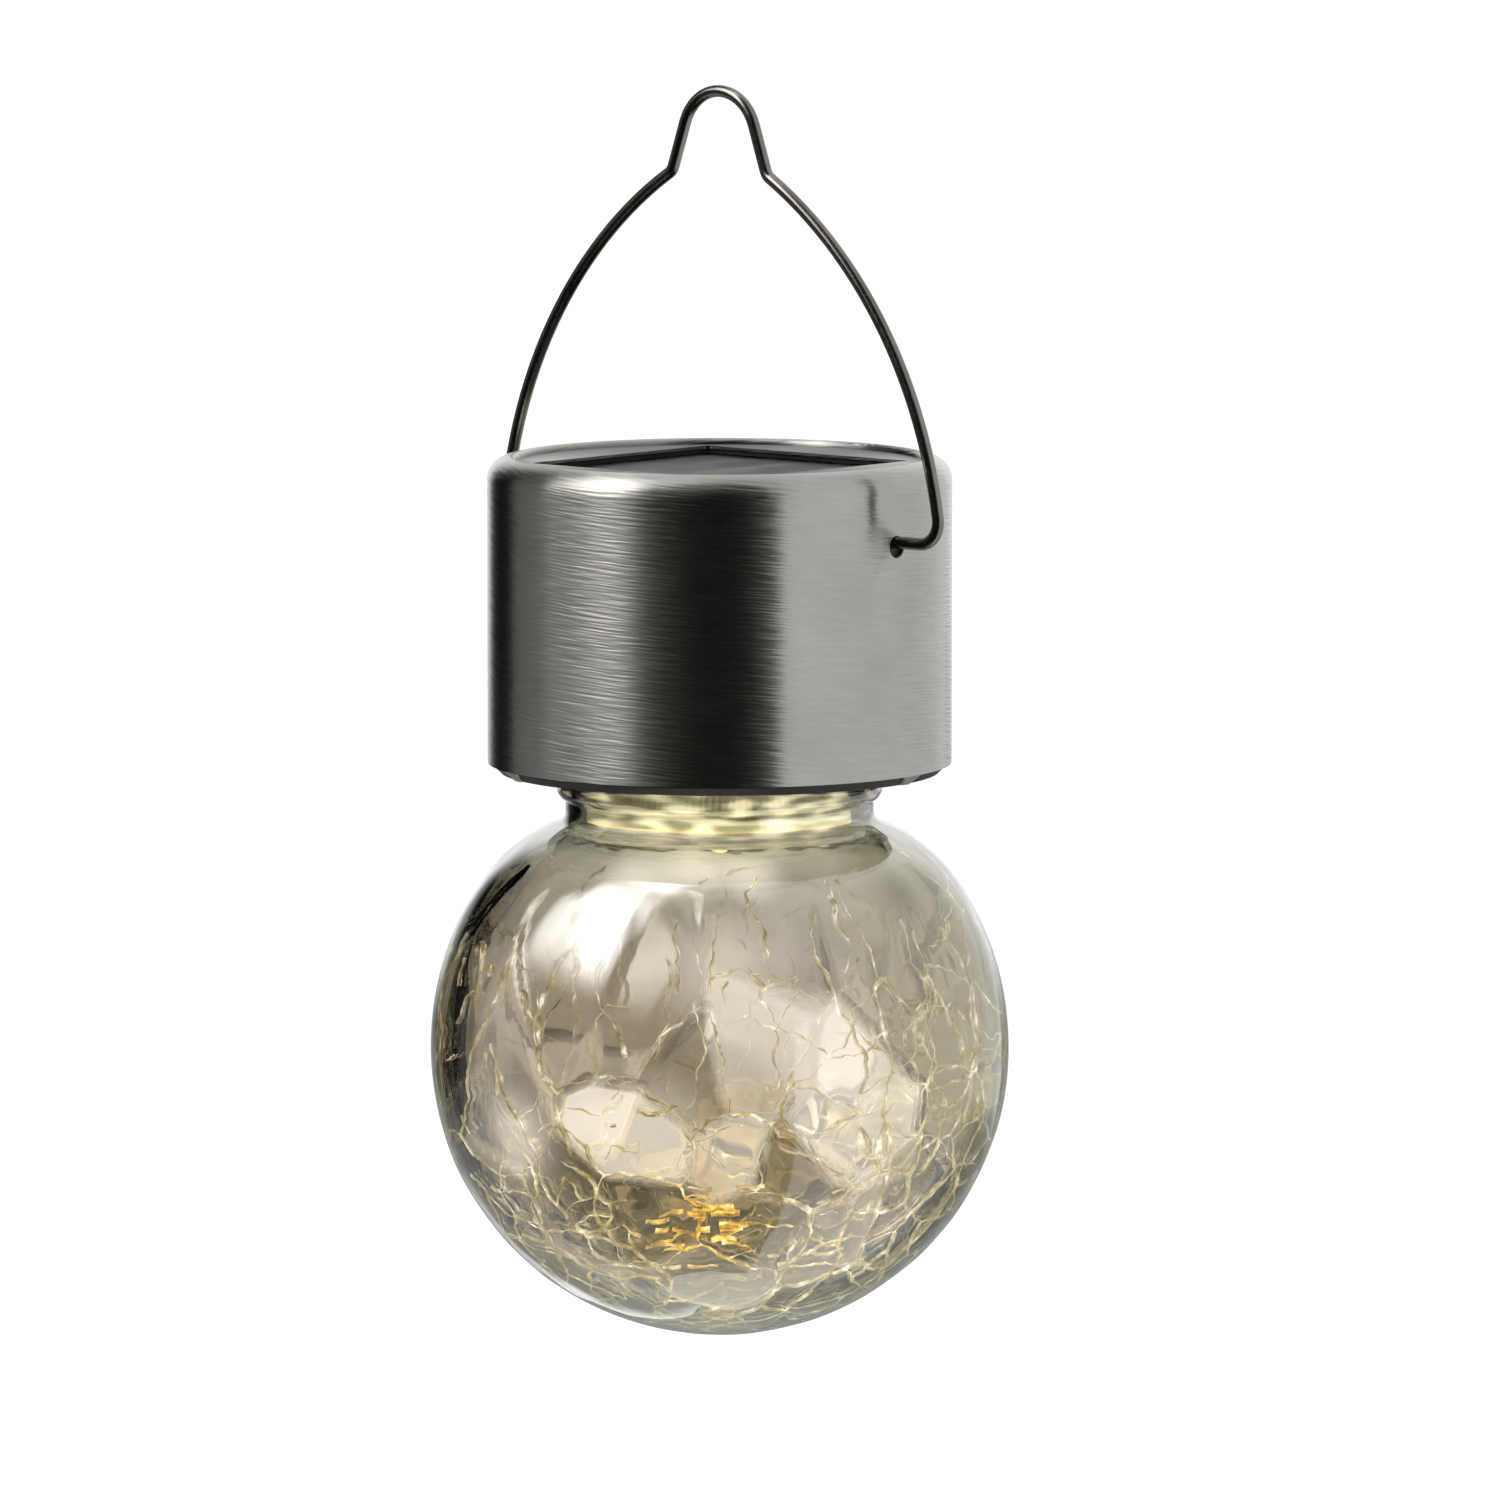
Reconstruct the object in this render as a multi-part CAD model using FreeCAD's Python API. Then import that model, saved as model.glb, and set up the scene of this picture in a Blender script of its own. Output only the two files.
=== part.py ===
import FreeCAD, Part
import math
import os

# Hanging solar lantern: steel cap with a solar panel, wire bail and crackle glass globe.
# Millimetres. The origin is where a hook bears inside the bail's loop, +Z up, pegs along X.

# Bail: one bent wire, symmetric about the YZ plane
wire_d = 2.1
bail_height = 74.8
loop_r = 8.2
loop_height = 14.0
kink_half_width = 10.7
kink_r = 2.4
leg_r = 80.0
leg_gap = 9.6
bend_r = 4.0
peg_depth = 7.5
peg_clearance = 0.08

# Cap: drawn steel cup with a square window in its top, sized round the panel
cap_height = 52.5
cap_wall = 0.5
shoulder_fillet = 4.0
rim_rise = 1.0
window_overlap = 2.0
window_corner_r = 1.2
pivot_hole_d = 3.8
pivot_hole_seat = 0.1
pivot_below_top = 12.35
lug_count = 3
lug_first_angle = 7.0
lug_length = 2.3
lug_root_width = 4.6
lug_tip_width = 2.0
lug_gap = 0.05

# Solar panel: cover, cell strips and backing board, sealed to the cap by a foam frame
panel_side = 50.0
panel_corner_gap = 3.6
gasket_thick = 0.8
gasket_setback = 0.3
cover_thick = 1.0
cell_thick = 0.2
board_thick = 1.2
cell_count = 4
cell_gap = 0.4
cell_margin = 2.4

# Inner holder: tray, skirt, cradle and bosses moulded in one
holder_clearance = 0.35
holder_wall = 1.8
tray_thick = 2.0
tray_clearance = 0.2
boss_wall = 2.2
post_r = 3.0
post_length = 12.0
lead_hole_d = 3.0

# Battery and its cradle, lying along Y under the tray
cell_d = 14.4
cell_length = 49.2
cell_edge_r = 0.6
nub_d = 5.4
nub_height = 1.3
cell_below_tray = 1.2
saddle_offset = 15.0
saddle_thick = 2.2
saddle_wall = 2.4
saddle_wrap = 2.6
saddle_clearance = 0.15
end_wall_thick = 1.8
end_wall_width = 17.0
contact_thick = 0.4
contact_side = 10.0
contact_tail = 4.0
spring_wire_d = 0.7
spring_length = 4.6
spring_base_r = 4.4
spring_tip_r = 2.4
spring_turns = 3
spring_weld = 0.2

# Base plate, seal, lamp cup and ring that carry the glass
base_thick = 2.6
base_proud = 1.6
seal_thick = 1.2
seal_width = 3.6
seat_gap = 0.05
cup_depth = 8.7
cup_clearance = 0.2
cup_wall = 1.6
cup_floor = 1.6
cup_flange = 2.6
cup_flange_thick = 1.5
ring_squeeze_gap = 0.1
ring_stand = 1.5
ring_height = 2.4
ring_drop = 3.4

# Fasteners
base_screw_d = 2.6
base_screw_length = 10.0
base_head_d = 4.8
base_head_height = 1.6
screw_circle_inset = 5.0
screw_first_angle = 67.0
base_screw_count = 3
screw_slot_width = 0.7
screw_slot_depth = 0.8
board_screw_d = 2.0
board_screw_length = 5.0
board_head_d = 3.6
board_head_height = 1.3
pilot_clearance = 0.1
screw_clearance = 0.2

# Driver board and LED in the lamp cup
circuit_gap = 2.9
circuit_thick = 1.6
led_d = 5.0
led_length = 8.6
led_rim_d = 5.8
led_rim_height = 1.0
led_stand = 0.6
led_proud = 3.0
led_clearance = 0.25
led_lead_side = 0.5
led_lead_pitch = 2.54
cup_post_r = 2.4
board_screw_inset = 5.0
chip_length = 5.0
chip_width = 4.0
chip_height = 1.6
chip_offset = 7.0
choke_d = 5.2
choke_height = 2.6
choke_flange = 0.6
choke_core_d = 3.4

# On and off slide switch on the base plate
switch_angle = 157.0
switch_inset = 5.55
switch_travel = 2.4
switch_wall = 0.8
slide_length = 3.4
slide_width = 2.6
slide_height = 1.6
slide_clearance = 0.3
stem_length = 1.8
stem_width = 1.4
thumb_length = 3.6
thumb_width = 3.0
thumb_height = 1.2
thumb_ribs = 3
thumb_rib = 0.35

# Insulated leads
lead_d = 1.1
lead_bend_r = 3.0
panel_lead_x = 12.6
panel_lead_y = 20.0
panel_lead_pad_y = 5.0
panel_lead_pad_x = 6.5
battery_lead_inset = 7.5
switch_lead_pitch = 3.0
switch_lead_inset = 3.4
switch_lead_rise = 5.0

# Glass globe
globe_d = 100.0
glass_wall = 2.6
shoulder_r = 26.0
shoulder_angle = 54.0
neck_d = 53.2
neck_fillet = 2.5
neck_run = 1.8
lip_proud = 1.45
lip_height = 3.6
mouth_round = 0.8

V = FreeCAD.Vector
UP = V(0, 0, 1)
ORIGIN = V(0, 0, 0)

# Radii, from the panel's corners out to the cap, and of the glass
holder_r = panel_side / math.sqrt(2) + panel_corner_gap
cap_bore_r = holder_r + holder_clearance
cap_r = cap_bore_r + cap_wall
cap_d = 2 * cap_r
window_side = panel_side - 2 * window_overlap
globe_r = globe_d / 2
neck_r = neck_d / 2
bore_r = neck_r - glass_wall
lip_r = neck_r + lip_proud
plug_r = bore_r - ring_stand
cup_bore_r = plug_r - cup_wall
circuit_r = cup_bore_r - circuit_gap
board_screw_y = circuit_r - board_screw_inset
screw_circle_r = holder_r - screw_circle_inset
switch_r = holder_r - switch_inset

# Centres of the glass's shoulder and neck fillet, from the ball's centre
shoulder_lean = math.radians(shoulder_angle)
shoulder_x = (globe_r - shoulder_r) * math.sin(shoulder_lean)
shoulder_rise = (globe_r - shoulder_r) * math.cos(shoulder_lean)
fillet_x = neck_r + neck_fillet
fillet_rise = shoulder_rise + math.sqrt((shoulder_r + neck_fillet) ** 2 - (fillet_x - shoulder_x) ** 2)

# Levels, from the hook point down
wire_r = wire_d / 2
crown_z = wire_r
peg_z = crown_z - bail_height
hole_z = peg_z - (pivot_hole_d - wire_d) / 2 + pivot_hole_seat
cap_top = peg_z + pivot_below_top
cap_bottom = cap_top - cap_height
flange_top = cap_top - rim_rise
flange_bottom = flange_top - cap_wall
cover_top = flange_bottom - gasket_thick
cells_top = cover_top - cover_thick
board_top = cells_top - cell_thick
tray_top = board_top - board_thick
tray_bottom = tray_top - tray_thick
base_bottom = cap_bottom - base_proud
base_top = base_bottom + base_thick
seal_bottom = base_bottom - seal_thick
lip_top = seal_bottom - seat_gap
neck_low = lip_top - lip_height - neck_run
globe_z = neck_low - fillet_rise
cup_bottom = base_bottom - cup_depth
floor_top = cup_bottom + cup_floor
led_tip_z = cup_bottom - led_proud
led_base_z = led_tip_z + led_length
circuit_bottom = led_base_z + led_stand
circuit_top = circuit_bottom + circuit_thick
cell_r = cell_d / 2
cell_z = tray_bottom - cell_below_tray - cell_r
cell_front = -cell_length / 2
cell_back = cell_length / 2
contact_y = cell_back + nub_height
spring_y = cell_front - spring_length


def line(a, b):
    return Part.LineSegment(a, b).toShape()


def arc(a, middle, b):
    return Part.Arc(a, middle, b).toShape()


def on_circle(centre, radius, direction):
    return centre + V(direction).normalize() * radius


def bulge(centre, radius, a, b):
    """Arc from a to b about centre, the short way round."""
    return arc(a, on_circle(centre, radius, (a - centre) + (b - centre)), b)


def turned(edges):
    """Solid of revolution about Z from a closed outline in the XZ plane."""
    face = Part.Face(Part.Wire(Part.__sortEdges__(edges)))
    return face.revolve(ORIGIN, UP, 360)


def polygon(points):
    return [line(a, b) for a, b in zip(points, points[1:] + points[:1])]


def ring(inner_r, outer_r, low, high):
    corners = [V(inner_r, 0, low), V(outer_r, 0, low), V(outer_r, 0, high), V(inner_r, 0, high)]
    return turned(polygon(corners))


def rod(radius, base, axis, length):
    return Part.makeCylinder(radius, length, base, axis)


def block(size_x, size_y, low, high, x=0.0, y=0.0):
    """Upright block centred at x, y."""
    return Part.makeBox(size_x, size_y, high - low, V(x - size_x / 2, y - size_y / 2, low))


def plate(side, corner_r, low, high):
    """Square plate with round upright edges."""
    slab = block(side, side, low, high)
    upright = [e for e in slab.Edges if abs(e.Vertexes[0].Z - e.Vertexes[1].Z) > (high - low) / 2]
    return slab.makeFillet(corner_r, upright)


def around(shape, angle):
    copy = shape.copy()
    copy.rotate(ORIGIN, UP, angle)
    return copy


def pattern(shape, count, first_angle):
    return [around(shape, first_angle + 360.0 * i / count) for i in range(count)]


def rounded_path(points, radius):
    """Straight runs through the points, joined by tangent arcs of one radius."""
    edges = []
    start = points[0]
    for before, corner, after in zip(points, points[1:], points[2:]):
        back = V(before - corner).normalize()
        ahead = V(after - corner).normalize()
        half_turn = (math.pi - back.getAngle(ahead)) / 2
        set_back = radius * math.tan(half_turn)
        first = corner + back * set_back
        last = corner + ahead * set_back
        centre = corner + V(back + ahead).normalize() * (radius / math.cos(half_turn))
        edges.append(line(start, first))
        edges.append(bulge(centre, radius, first, last))
        start = last
    edges.append(line(start, points[-1]))
    return Part.Wire(edges)


def tube(path, diameter):
    """Round bar along a path of lines and arcs."""
    first = path.Edges[0]
    start = first.valueAt(first.FirstParameter)
    heading = first.tangentAt(first.FirstParameter)
    section = Part.Wire(Part.Circle(start, heading, diameter / 2).toShape())
    return path.makePipeShell([section], True, False)


def save(name, shape):
    solids = shape if isinstance(shape, list) else [shape]
    whole = Part.Compound(solids) if len(solids) > 1 else solids[0]
    if len(solids) == 1 and len(whole.Solids) == 1:
        whole = whole.Solids[0]
    whole.exportStep("parts/" + name + ".step")


def bail_side():
    """Right half of the bail's centreline in the XZ plane, from the crown to the peg's tip."""
    loop_centre = V(0, 0, crown_z - loop_r)
    kink = V(kink_half_width, 0, crown_z - loop_height)
    corner = V(cap_r + leg_gap, 0, peg_z)
    # the loop's leg leaves the crown on the tangent that meets the kink
    reach = kink - loop_centre
    lean = math.acos(loop_r / reach.Length)
    touch_angle = math.atan2(reach.z, reach.x) + lean
    touch = loop_centre + V(math.cos(touch_angle), 0, math.sin(touch_angle)) * loop_r
    drop = V(kink - touch).normalize()
    side = V(-drop.z, 0, drop.x)
    # the bowed leg is an arc of leg_r through the kink and the peg's corner
    chord = corner - kink
    inward = V(chord.z, 0, -chord.x).normalize()
    sag = math.sqrt(leg_r ** 2 - (chord.Length / 2) ** 2)
    leg_centre = (kink + corner) * 0.5 + inward * sag
    # small round at the kink, outside the leg's arc and beside the loop's leg
    foot = touch + side * kink_r - leg_centre
    along = foot.dot(drop)
    run = -along - math.sqrt(along ** 2 - foot.Length ** 2 + (leg_r + kink_r) ** 2)
    kink_centre = touch + side * kink_r + drop * run
    kink_start = kink_centre - side * kink_r
    kink_end = on_circle(leg_centre, leg_r, kink_centre - leg_centre)
    # round at the foot, inside the leg's arc and above the peg
    rise = peg_z + bend_r - leg_centre.z
    bend_x = leg_centre.x + math.sqrt((leg_r - bend_r) ** 2 - rise ** 2)
    bend_centre = V(bend_x, 0, peg_z + bend_r)
    bend_start = on_circle(leg_centre, leg_r, bend_centre - leg_centre)
    bend_end = V(bend_x, 0, peg_z)
    tip = V(cap_r - peg_depth, 0, peg_z)
    crown = V(0, 0, crown_z)
    return [
        bulge(loop_centre, loop_r, crown, touch),
        line(touch, kink_start),
        bulge(kink_centre, kink_r, kink_start, kink_end),
        bulge(leg_centre, leg_r, kink_end, bend_start),
        bulge(bend_centre, bend_r, bend_start, bend_end),
        line(bend_end, tip),
    ]


def make_bail():
    right = Part.Wire(bail_side())
    left = right.mirror(ORIGIN, V(1, 0, 0))
    path = Part.Wire(Part.__sortEdges__(left.Edges + right.Edges))
    return tube(path, wire_d)


def make_lug():
    """Tab of the cap's edge, bent in and down at 45 degrees to catch the base plate."""
    fall = lug_length / math.sqrt(2)
    sections = []
    for shift, width in ((0.0, lug_root_width), (fall, lug_tip_width)):
        inner = cap_bore_r - shift
        outer = inner + cap_wall
        z = cap_bottom - shift
        half = width / 2
        corners = [V(inner, -half, z), V(outer, -half, z), V(outer, half, z), V(inner, half, z)]
        sections.append(Part.Wire(polygon(corners)))
    return Part.makeLoft(sections, True, True)


def make_cap():
    """Drawn cup whose top steps down from a rounded rim to a flange with a square window."""
    crest_r = cap_r - shoulder_fillet
    shoulder = V(crest_r, 0, cap_top - shoulder_fillet)
    bead = V(crest_r, 0, flange_top)
    crest = V(crest_r, 0, cap_top)
    under_crest = V(crest_r, 0, cap_top - cap_wall)
    side_top = V(cap_r, 0, shoulder.z)
    bore_top = V(cap_bore_r, 0, shoulder.z)
    step_top = V(crest_r - rim_rise, 0, flange_top)
    step_under = V(crest_r - rim_rise + cap_wall, 0, flange_top)
    flange_end = V(step_under.x, 0, flange_bottom)
    shell = turned([
        line(V(0, 0, flange_top), step_top),
        bulge(bead, rim_rise, step_top, crest),
        bulge(shoulder, shoulder_fillet, crest, side_top),
        line(side_top, V(cap_r, 0, cap_bottom)),
        line(V(cap_r, 0, cap_bottom), V(cap_bore_r, 0, cap_bottom)),
        line(V(cap_bore_r, 0, cap_bottom), bore_top),
        bulge(shoulder, shoulder_fillet - cap_wall, bore_top, under_crest),
        bulge(bead, rim_rise - cap_wall, under_crest, step_under),
        line(step_under, flange_end),
        line(flange_end, V(0, 0, flange_bottom)),
        line(V(0, 0, flange_bottom), V(0, 0, flange_top)),
    ])
    window = plate(window_side, window_corner_r, flange_bottom - cap_wall, cap_top)
    pivots = rod(pivot_hole_d / 2, V(-cap_d, 0, hole_z), V(1, 0, 0), 2 * cap_d)
    shell = shell.cut(window).cut(pivots)
    return shell.fuse(pattern(make_lug(), lug_count, lug_first_angle)).removeSplitter()


def make_gasket():
    outer = block(panel_side, panel_side, cover_top, flange_bottom)
    opening = plate(window_side + 2 * gasket_setback, window_corner_r, cover_top, flange_bottom)
    return outer.cut(opening)


def make_cells():
    field = panel_side - 2 * cell_margin
    width = (field - (cell_count - 1) * cell_gap) / cell_count
    pitch = width + cell_gap
    first = -field / 2 + width / 2
    return [block(width, field, board_top, cells_top, first + i * pitch) for i in range(cell_count)]


def make_holder():
    crown_r = shoulder_fillet + holder_clearance
    rim_top = cover_top
    skirt_bore = holder_r - holder_wall
    top_flat = holder_r - crown_r
    roof_centre = V(top_flat, 0, rim_top - crown_r)
    edges = [
        line(V(0, 0, rim_top), V(top_flat, 0, rim_top)),
        bulge(roof_centre, crown_r, V(top_flat, 0, rim_top), V(holder_r, 0, roof_centre.z)),
        line(V(holder_r, 0, roof_centre.z), V(holder_r, 0, base_top)),
        line(V(holder_r, 0, base_top), V(skirt_bore, 0, base_top)),
        line(V(skirt_bore, 0, base_top), V(skirt_bore, 0, tray_bottom)),
        line(V(skirt_bore, 0, tray_bottom), V(0, 0, tray_bottom)),
        line(V(0, 0, tray_bottom), V(0, 0, rim_top)),
    ]
    body = turned(edges)
    pocket_side = panel_side + 2 * tray_clearance
    body = body.cut(block(pocket_side, pocket_side, tray_top, rim_top + tray_clearance))
    boss_r = wire_r + peg_clearance + boss_wall
    boss_x = cap_r - peg_depth
    boss = rod(boss_r, V(boss_x, 0, peg_z), V(1, 0, 0), holder_r - holder_wall / 2 - boss_x)
    added = pattern(boss, 2, 0)
    post = rod(post_r, V(screw_circle_r, 0, base_top), UP, post_length)
    web_end = skirt_bore + holder_wall / 2
    web_middle = (web_end + screw_circle_r) / 2
    web = block(web_end - screw_circle_r, holder_wall, base_top, base_top + post_length, web_middle)
    added += pattern(post.fuse(web), base_screw_count, screw_first_angle)
    for y in (-saddle_offset, saddle_offset):
        arm = block(cell_d + 2 * saddle_wall, saddle_thick, cell_z - saddle_wrap, tray_bottom, 0, y)
        added.append(arm)
    for low_y in (spring_y - contact_thick - end_wall_thick, contact_y + contact_thick):
        wall_low = cell_z - cell_r
        middle_y = low_y + end_wall_thick / 2
        added.append(block(end_wall_width, end_wall_thick, wall_low, tray_bottom, 0, middle_y))
    body = body.fuse(added)
    cradle = rod(cell_r + saddle_clearance, V(0, cell_front, cell_z), V(0, 1, 0), cell_length)
    peg_bore = rod(wire_r + peg_clearance, V(-cap_d, 0, peg_z), V(1, 0, 0), 2 * cap_d)
    pilot = rod(base_screw_d / 2 - pilot_clearance, V(screw_circle_r, 0, base_top), UP, post_length)
    cuts = [cradle, peg_bore] + pattern(pilot, base_screw_count, screw_first_angle)
    for side in (-1, 1):
        foot = V(side * panel_lead_x, -panel_lead_y, tray_bottom)
        cuts.append(rod(lead_hole_d / 2, foot, UP, tray_thick))
    return body.cut(cuts).removeSplitter()


def make_battery():
    can = rod(cell_r, V(0, cell_front, cell_z), V(0, 1, 0), cell_length)
    can = can.makeFillet(cell_edge_r, [e for e in can.Edges if e.Length > cell_d])
    nub = rod(nub_d / 2, V(0, cell_back, cell_z), V(0, 1, 0), nub_height)
    return can.fuse(nub)


def make_contact():
    low = cell_z - cell_r - contact_tail
    return Part.makeBox(contact_side, contact_thick, contact_side / 2 + cell_z - low,
                        V(-contact_side / 2, contact_y, low))


def spring_point(turn):
    """Centre of the spring's wire after that many turns, from the plate to the cell."""
    share = turn / spring_turns
    radius = spring_base_r + (spring_tip_r - spring_base_r) * share
    first_y = spring_y + spring_wire_d / 2 - spring_weld
    last_y = cell_front - spring_wire_d / 2
    y = first_y + (last_y - first_y) * share
    angle = 2 * math.pi * turn
    return V(radius * math.cos(angle), y, cell_z + radius * math.sin(angle))


def spring_heading(turn):
    step = 1e-4
    return V(spring_point(turn + step) - spring_point(turn - step)).normalize()


def biarc(a, heading_a, b, heading_b):
    """Two arcs from a to b that keep both headings."""
    chord = b - a
    both = heading_a + heading_b
    square = 2 * (1 - heading_a.dot(heading_b))
    slope = chord.dot(both)
    reach = (-slope + math.sqrt(slope ** 2 + square * chord.dot(chord))) / square
    knee_a = a + heading_a * reach
    knee_b = b - heading_b * reach
    middle = (knee_a + knee_b) * 0.5
    edges = []
    for start, knee, end in ((a, knee_a, middle), (middle, knee_b, b)):
        to_start = V(start - knee).normalize()
        to_end = V(end - knee).normalize()
        half = to_start.getAngle(to_end) / 2
        out = V(to_start + to_end).normalize()
        radius = reach * math.tan(half)
        apex = knee + out * (reach / math.cos(half) - radius)
        edges.append(arc(start, apex, end))
    return edges


def make_spring():
    steps = spring_turns * 4
    edges = []
    for i in range(steps):
        a = i / 4
        b = (i + 1) / 4
        edges += biarc(spring_point(a), spring_heading(a), spring_point(b), spring_heading(b))
    coil = tube(Part.Wire(edges), spring_wire_d)
    samples = 40
    turns = [i / samples for i in range(samples * (spring_turns - 1) + 1)]
    pitch = min((spring_point(turn + 1) - spring_point(turn)).Length for turn in turns)
    print("battery spring: least gap between turns", round(pitch - spring_wire_d, 3))
    low = cell_z - cell_r - contact_tail
    tag = Part.makeBox(contact_side, contact_thick, contact_side / 2 + cell_z - low,
                       V(-contact_side / 2, spring_y - contact_thick, low))
    return tag.fuse(coil)


def switch_slot(low, high):
    """Slot that the slider's stem runs in."""
    width = stem_width + 2 * slide_clearance
    length = stem_length + switch_travel + 2 * slide_clearance
    return block(width, length, low, high, switch_r, switch_travel / 2)


def make_base():
    edge_low = cap_bottom - (cap_bore_r - holder_r) + lug_gap * math.sqrt(2)
    foot_r = holder_r - (edge_low - base_bottom)
    hole_r = plug_r + cup_clearance
    body = turned(polygon([
        V(hole_r, 0, base_bottom), V(foot_r, 0, base_bottom), V(holder_r, 0, edge_low),
        V(holder_r, 0, base_top), V(hole_r, 0, base_top)]))
    shank = rod(base_screw_d / 2 + screw_clearance, V(screw_circle_r, 0, base_bottom), UP, base_thick)
    sink = rod(base_head_d / 2 + screw_clearance, V(screw_circle_r, 0, base_bottom), UP, base_head_height)
    holes = pattern(shank.fuse(sink), base_screw_count, screw_first_angle)
    holes.append(around(switch_slot(base_bottom, base_top), switch_angle))
    return body.cut(holes)


def make_screw(shank_d, shank_length, head_d, head_height):
    """Pan head screw standing on its head's flat at z 0, shank up."""
    head = rod(head_d / 2, V(0, 0, 0), UP, head_height)
    shank = rod(shank_d / 2, V(0, 0, head_height), UP, shank_length)
    tip = Part.makeCone(shank_d / 2, shank_d / 6, shank_d / 2, V(0, 0, head_height + shank_length), UP)
    drive = block(head_d, screw_slot_width, 0, screw_slot_depth)
    cross = around(drive, 90)
    reach = rod(head_d / 3, V(0, 0, 0), UP, screw_slot_depth)
    return head.fuse([shank, tip]).cut(drive.fuse(cross).common(reach))


def make_cup():
    bore = cup_bore_r
    flange_top = base_top + cup_flange_thick
    groove_low = base_bottom - ring_drop - ring_height
    groove_high = base_bottom - ring_drop
    groove_r = plug_r - cup_wall / 2
    body = turned(polygon([
        V(led_d / 2 + led_clearance, 0, cup_bottom), V(plug_r, 0, cup_bottom),
        V(plug_r, 0, groove_low), V(groove_r, 0, groove_low),
        V(groove_r, 0, groove_high), V(plug_r, 0, groove_high),
        V(plug_r, 0, base_top), V(plug_r + cup_flange, 0, base_top),
        V(plug_r + cup_flange, 0, flange_top), V(bore, 0, flange_top),
        V(bore, 0, floor_top), V(led_d / 2 + led_clearance, 0, floor_top)]))
    posts = []
    pilots = []
    for y in (-board_screw_y, board_screw_y):
        posts.append(rod(cup_post_r, V(0, y, floor_top), UP, circuit_bottom - floor_top))
        pilots.append(rod(board_screw_d / 2 - pilot_clearance, V(0, y, cup_bottom + cup_floor / 2), UP,
                          circuit_bottom - cup_bottom))
    return body.fuse(posts).cut(pilots)


def make_plug_ring():
    low = base_bottom - ring_drop - ring_height
    high = base_bottom - ring_drop
    inner = plug_r - cup_wall / 2
    outer = bore_r - ring_squeeze_gap
    middle = (low + high) / 2
    return turned([
        line(V(inner, 0, low), V(plug_r, 0, low)),
        arc(V(plug_r, 0, low), V(outer, 0, middle), V(plug_r, 0, high)),
        line(V(plug_r, 0, high), V(inner, 0, high)),
        line(V(inner, 0, high), V(inner, 0, low)),
    ])


def make_circuit():
    disc = rod(circuit_r, V(0, 0, circuit_bottom), UP, circuit_thick)
    holes = [rod(board_screw_d / 2 + screw_clearance, V(0, y, circuit_bottom), UP, circuit_thick)
             for y in (-board_screw_y, board_screw_y)]
    return disc.cut(holes)


def make_led():
    r = led_d / 2
    dome_z = led_tip_z + r
    rim_low = led_base_z - led_rim_height
    body = turned([
        bulge(V(0, 0, dome_z), r, V(0, 0, led_tip_z), V(r, 0, dome_z)),
        line(V(r, 0, dome_z), V(r, 0, rim_low)),
        line(V(r, 0, rim_low), V(led_rim_d / 2, 0, rim_low)),
        line(V(led_rim_d / 2, 0, rim_low), V(led_rim_d / 2, 0, led_base_z)),
        line(V(led_rim_d / 2, 0, led_base_z), V(0, 0, led_base_z)),
        line(V(0, 0, led_base_z), V(0, 0, led_tip_z)),
    ])
    pins = [block(led_lead_side, led_lead_side, led_base_z, circuit_bottom, side * led_lead_pitch / 2)
            for side in (-1, 1)]
    return body.fuse(pins)


def make_choke():
    z = circuit_top
    edges = polygon([
        V(0, 0, z), V(choke_d / 2, 0, z), V(choke_d / 2, 0, z + choke_flange),
        V(choke_core_d / 2, 0, z + choke_flange), V(choke_core_d / 2, 0, z + choke_height - choke_flange),
        V(choke_d / 2, 0, z + choke_height - choke_flange), V(choke_d / 2, 0, z + choke_height),
        V(0, 0, z + choke_height)])
    choke = turned(edges)
    choke.translate(V(-chip_offset, 0, 0))
    return choke


def switch_sizes():
    """Cavity of the switch body: length along the travel, width across, height."""
    length = slide_length + switch_travel + 2 * slide_clearance
    width = slide_width + 2 * slide_clearance
    height = slide_height + 2 * slide_clearance
    return length, width, height


def make_switch_body():
    length, width, height = switch_sizes()
    middle = switch_travel / 2
    shell_top = base_top + height + 2 * switch_wall
    shell_width = width + 2 * switch_wall
    shell_length = length + 2 * switch_wall
    shell = block(shell_width, shell_length, base_top, shell_top, switch_r, middle)
    cavity_low = base_top + switch_wall
    cavity = block(width, length, cavity_low, cavity_low + height, switch_r, middle)
    return around(shell.cut([cavity, switch_slot(base_top, cavity_low)]), switch_angle)


def make_switch_slider():
    slide_low = base_top + switch_wall + slide_clearance
    thumb_top = base_bottom - slide_clearance
    slide = block(slide_width, slide_length, slide_low, slide_low + slide_height, switch_r)
    stem = block(stem_width, stem_length, thumb_top, slide_low, switch_r)
    thumb_low = thumb_top - thumb_height
    thumb = block(thumb_width, thumb_length, thumb_low, thumb_top, switch_r)
    pitch = thumb_length / (thumb_ribs + 1)
    grooves = []
    for i in range(thumb_ribs):
        y = (i - (thumb_ribs - 1) / 2) * pitch
        grooves.append(block(thumb_width, thumb_rib, thumb_low, thumb_low + thumb_rib, switch_r, y))
    return around(slide.fuse([stem, thumb.cut(grooves)]), switch_angle)


def make_panel_lead(side):
    low = V(side * panel_lead_pad_x, -panel_lead_pad_y, circuit_top)
    high = V(side * panel_lead_x, -panel_lead_y, tray_top)
    drop = (high.z - low.z) / 3
    leave = V(high.x, high.y, high.z - 2 * drop)
    arrive = V(low.x, low.y, low.z + drop / 2)
    return tube(rounded_path([high, leave, arrive, low], lead_bend_r), lead_d)


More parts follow.
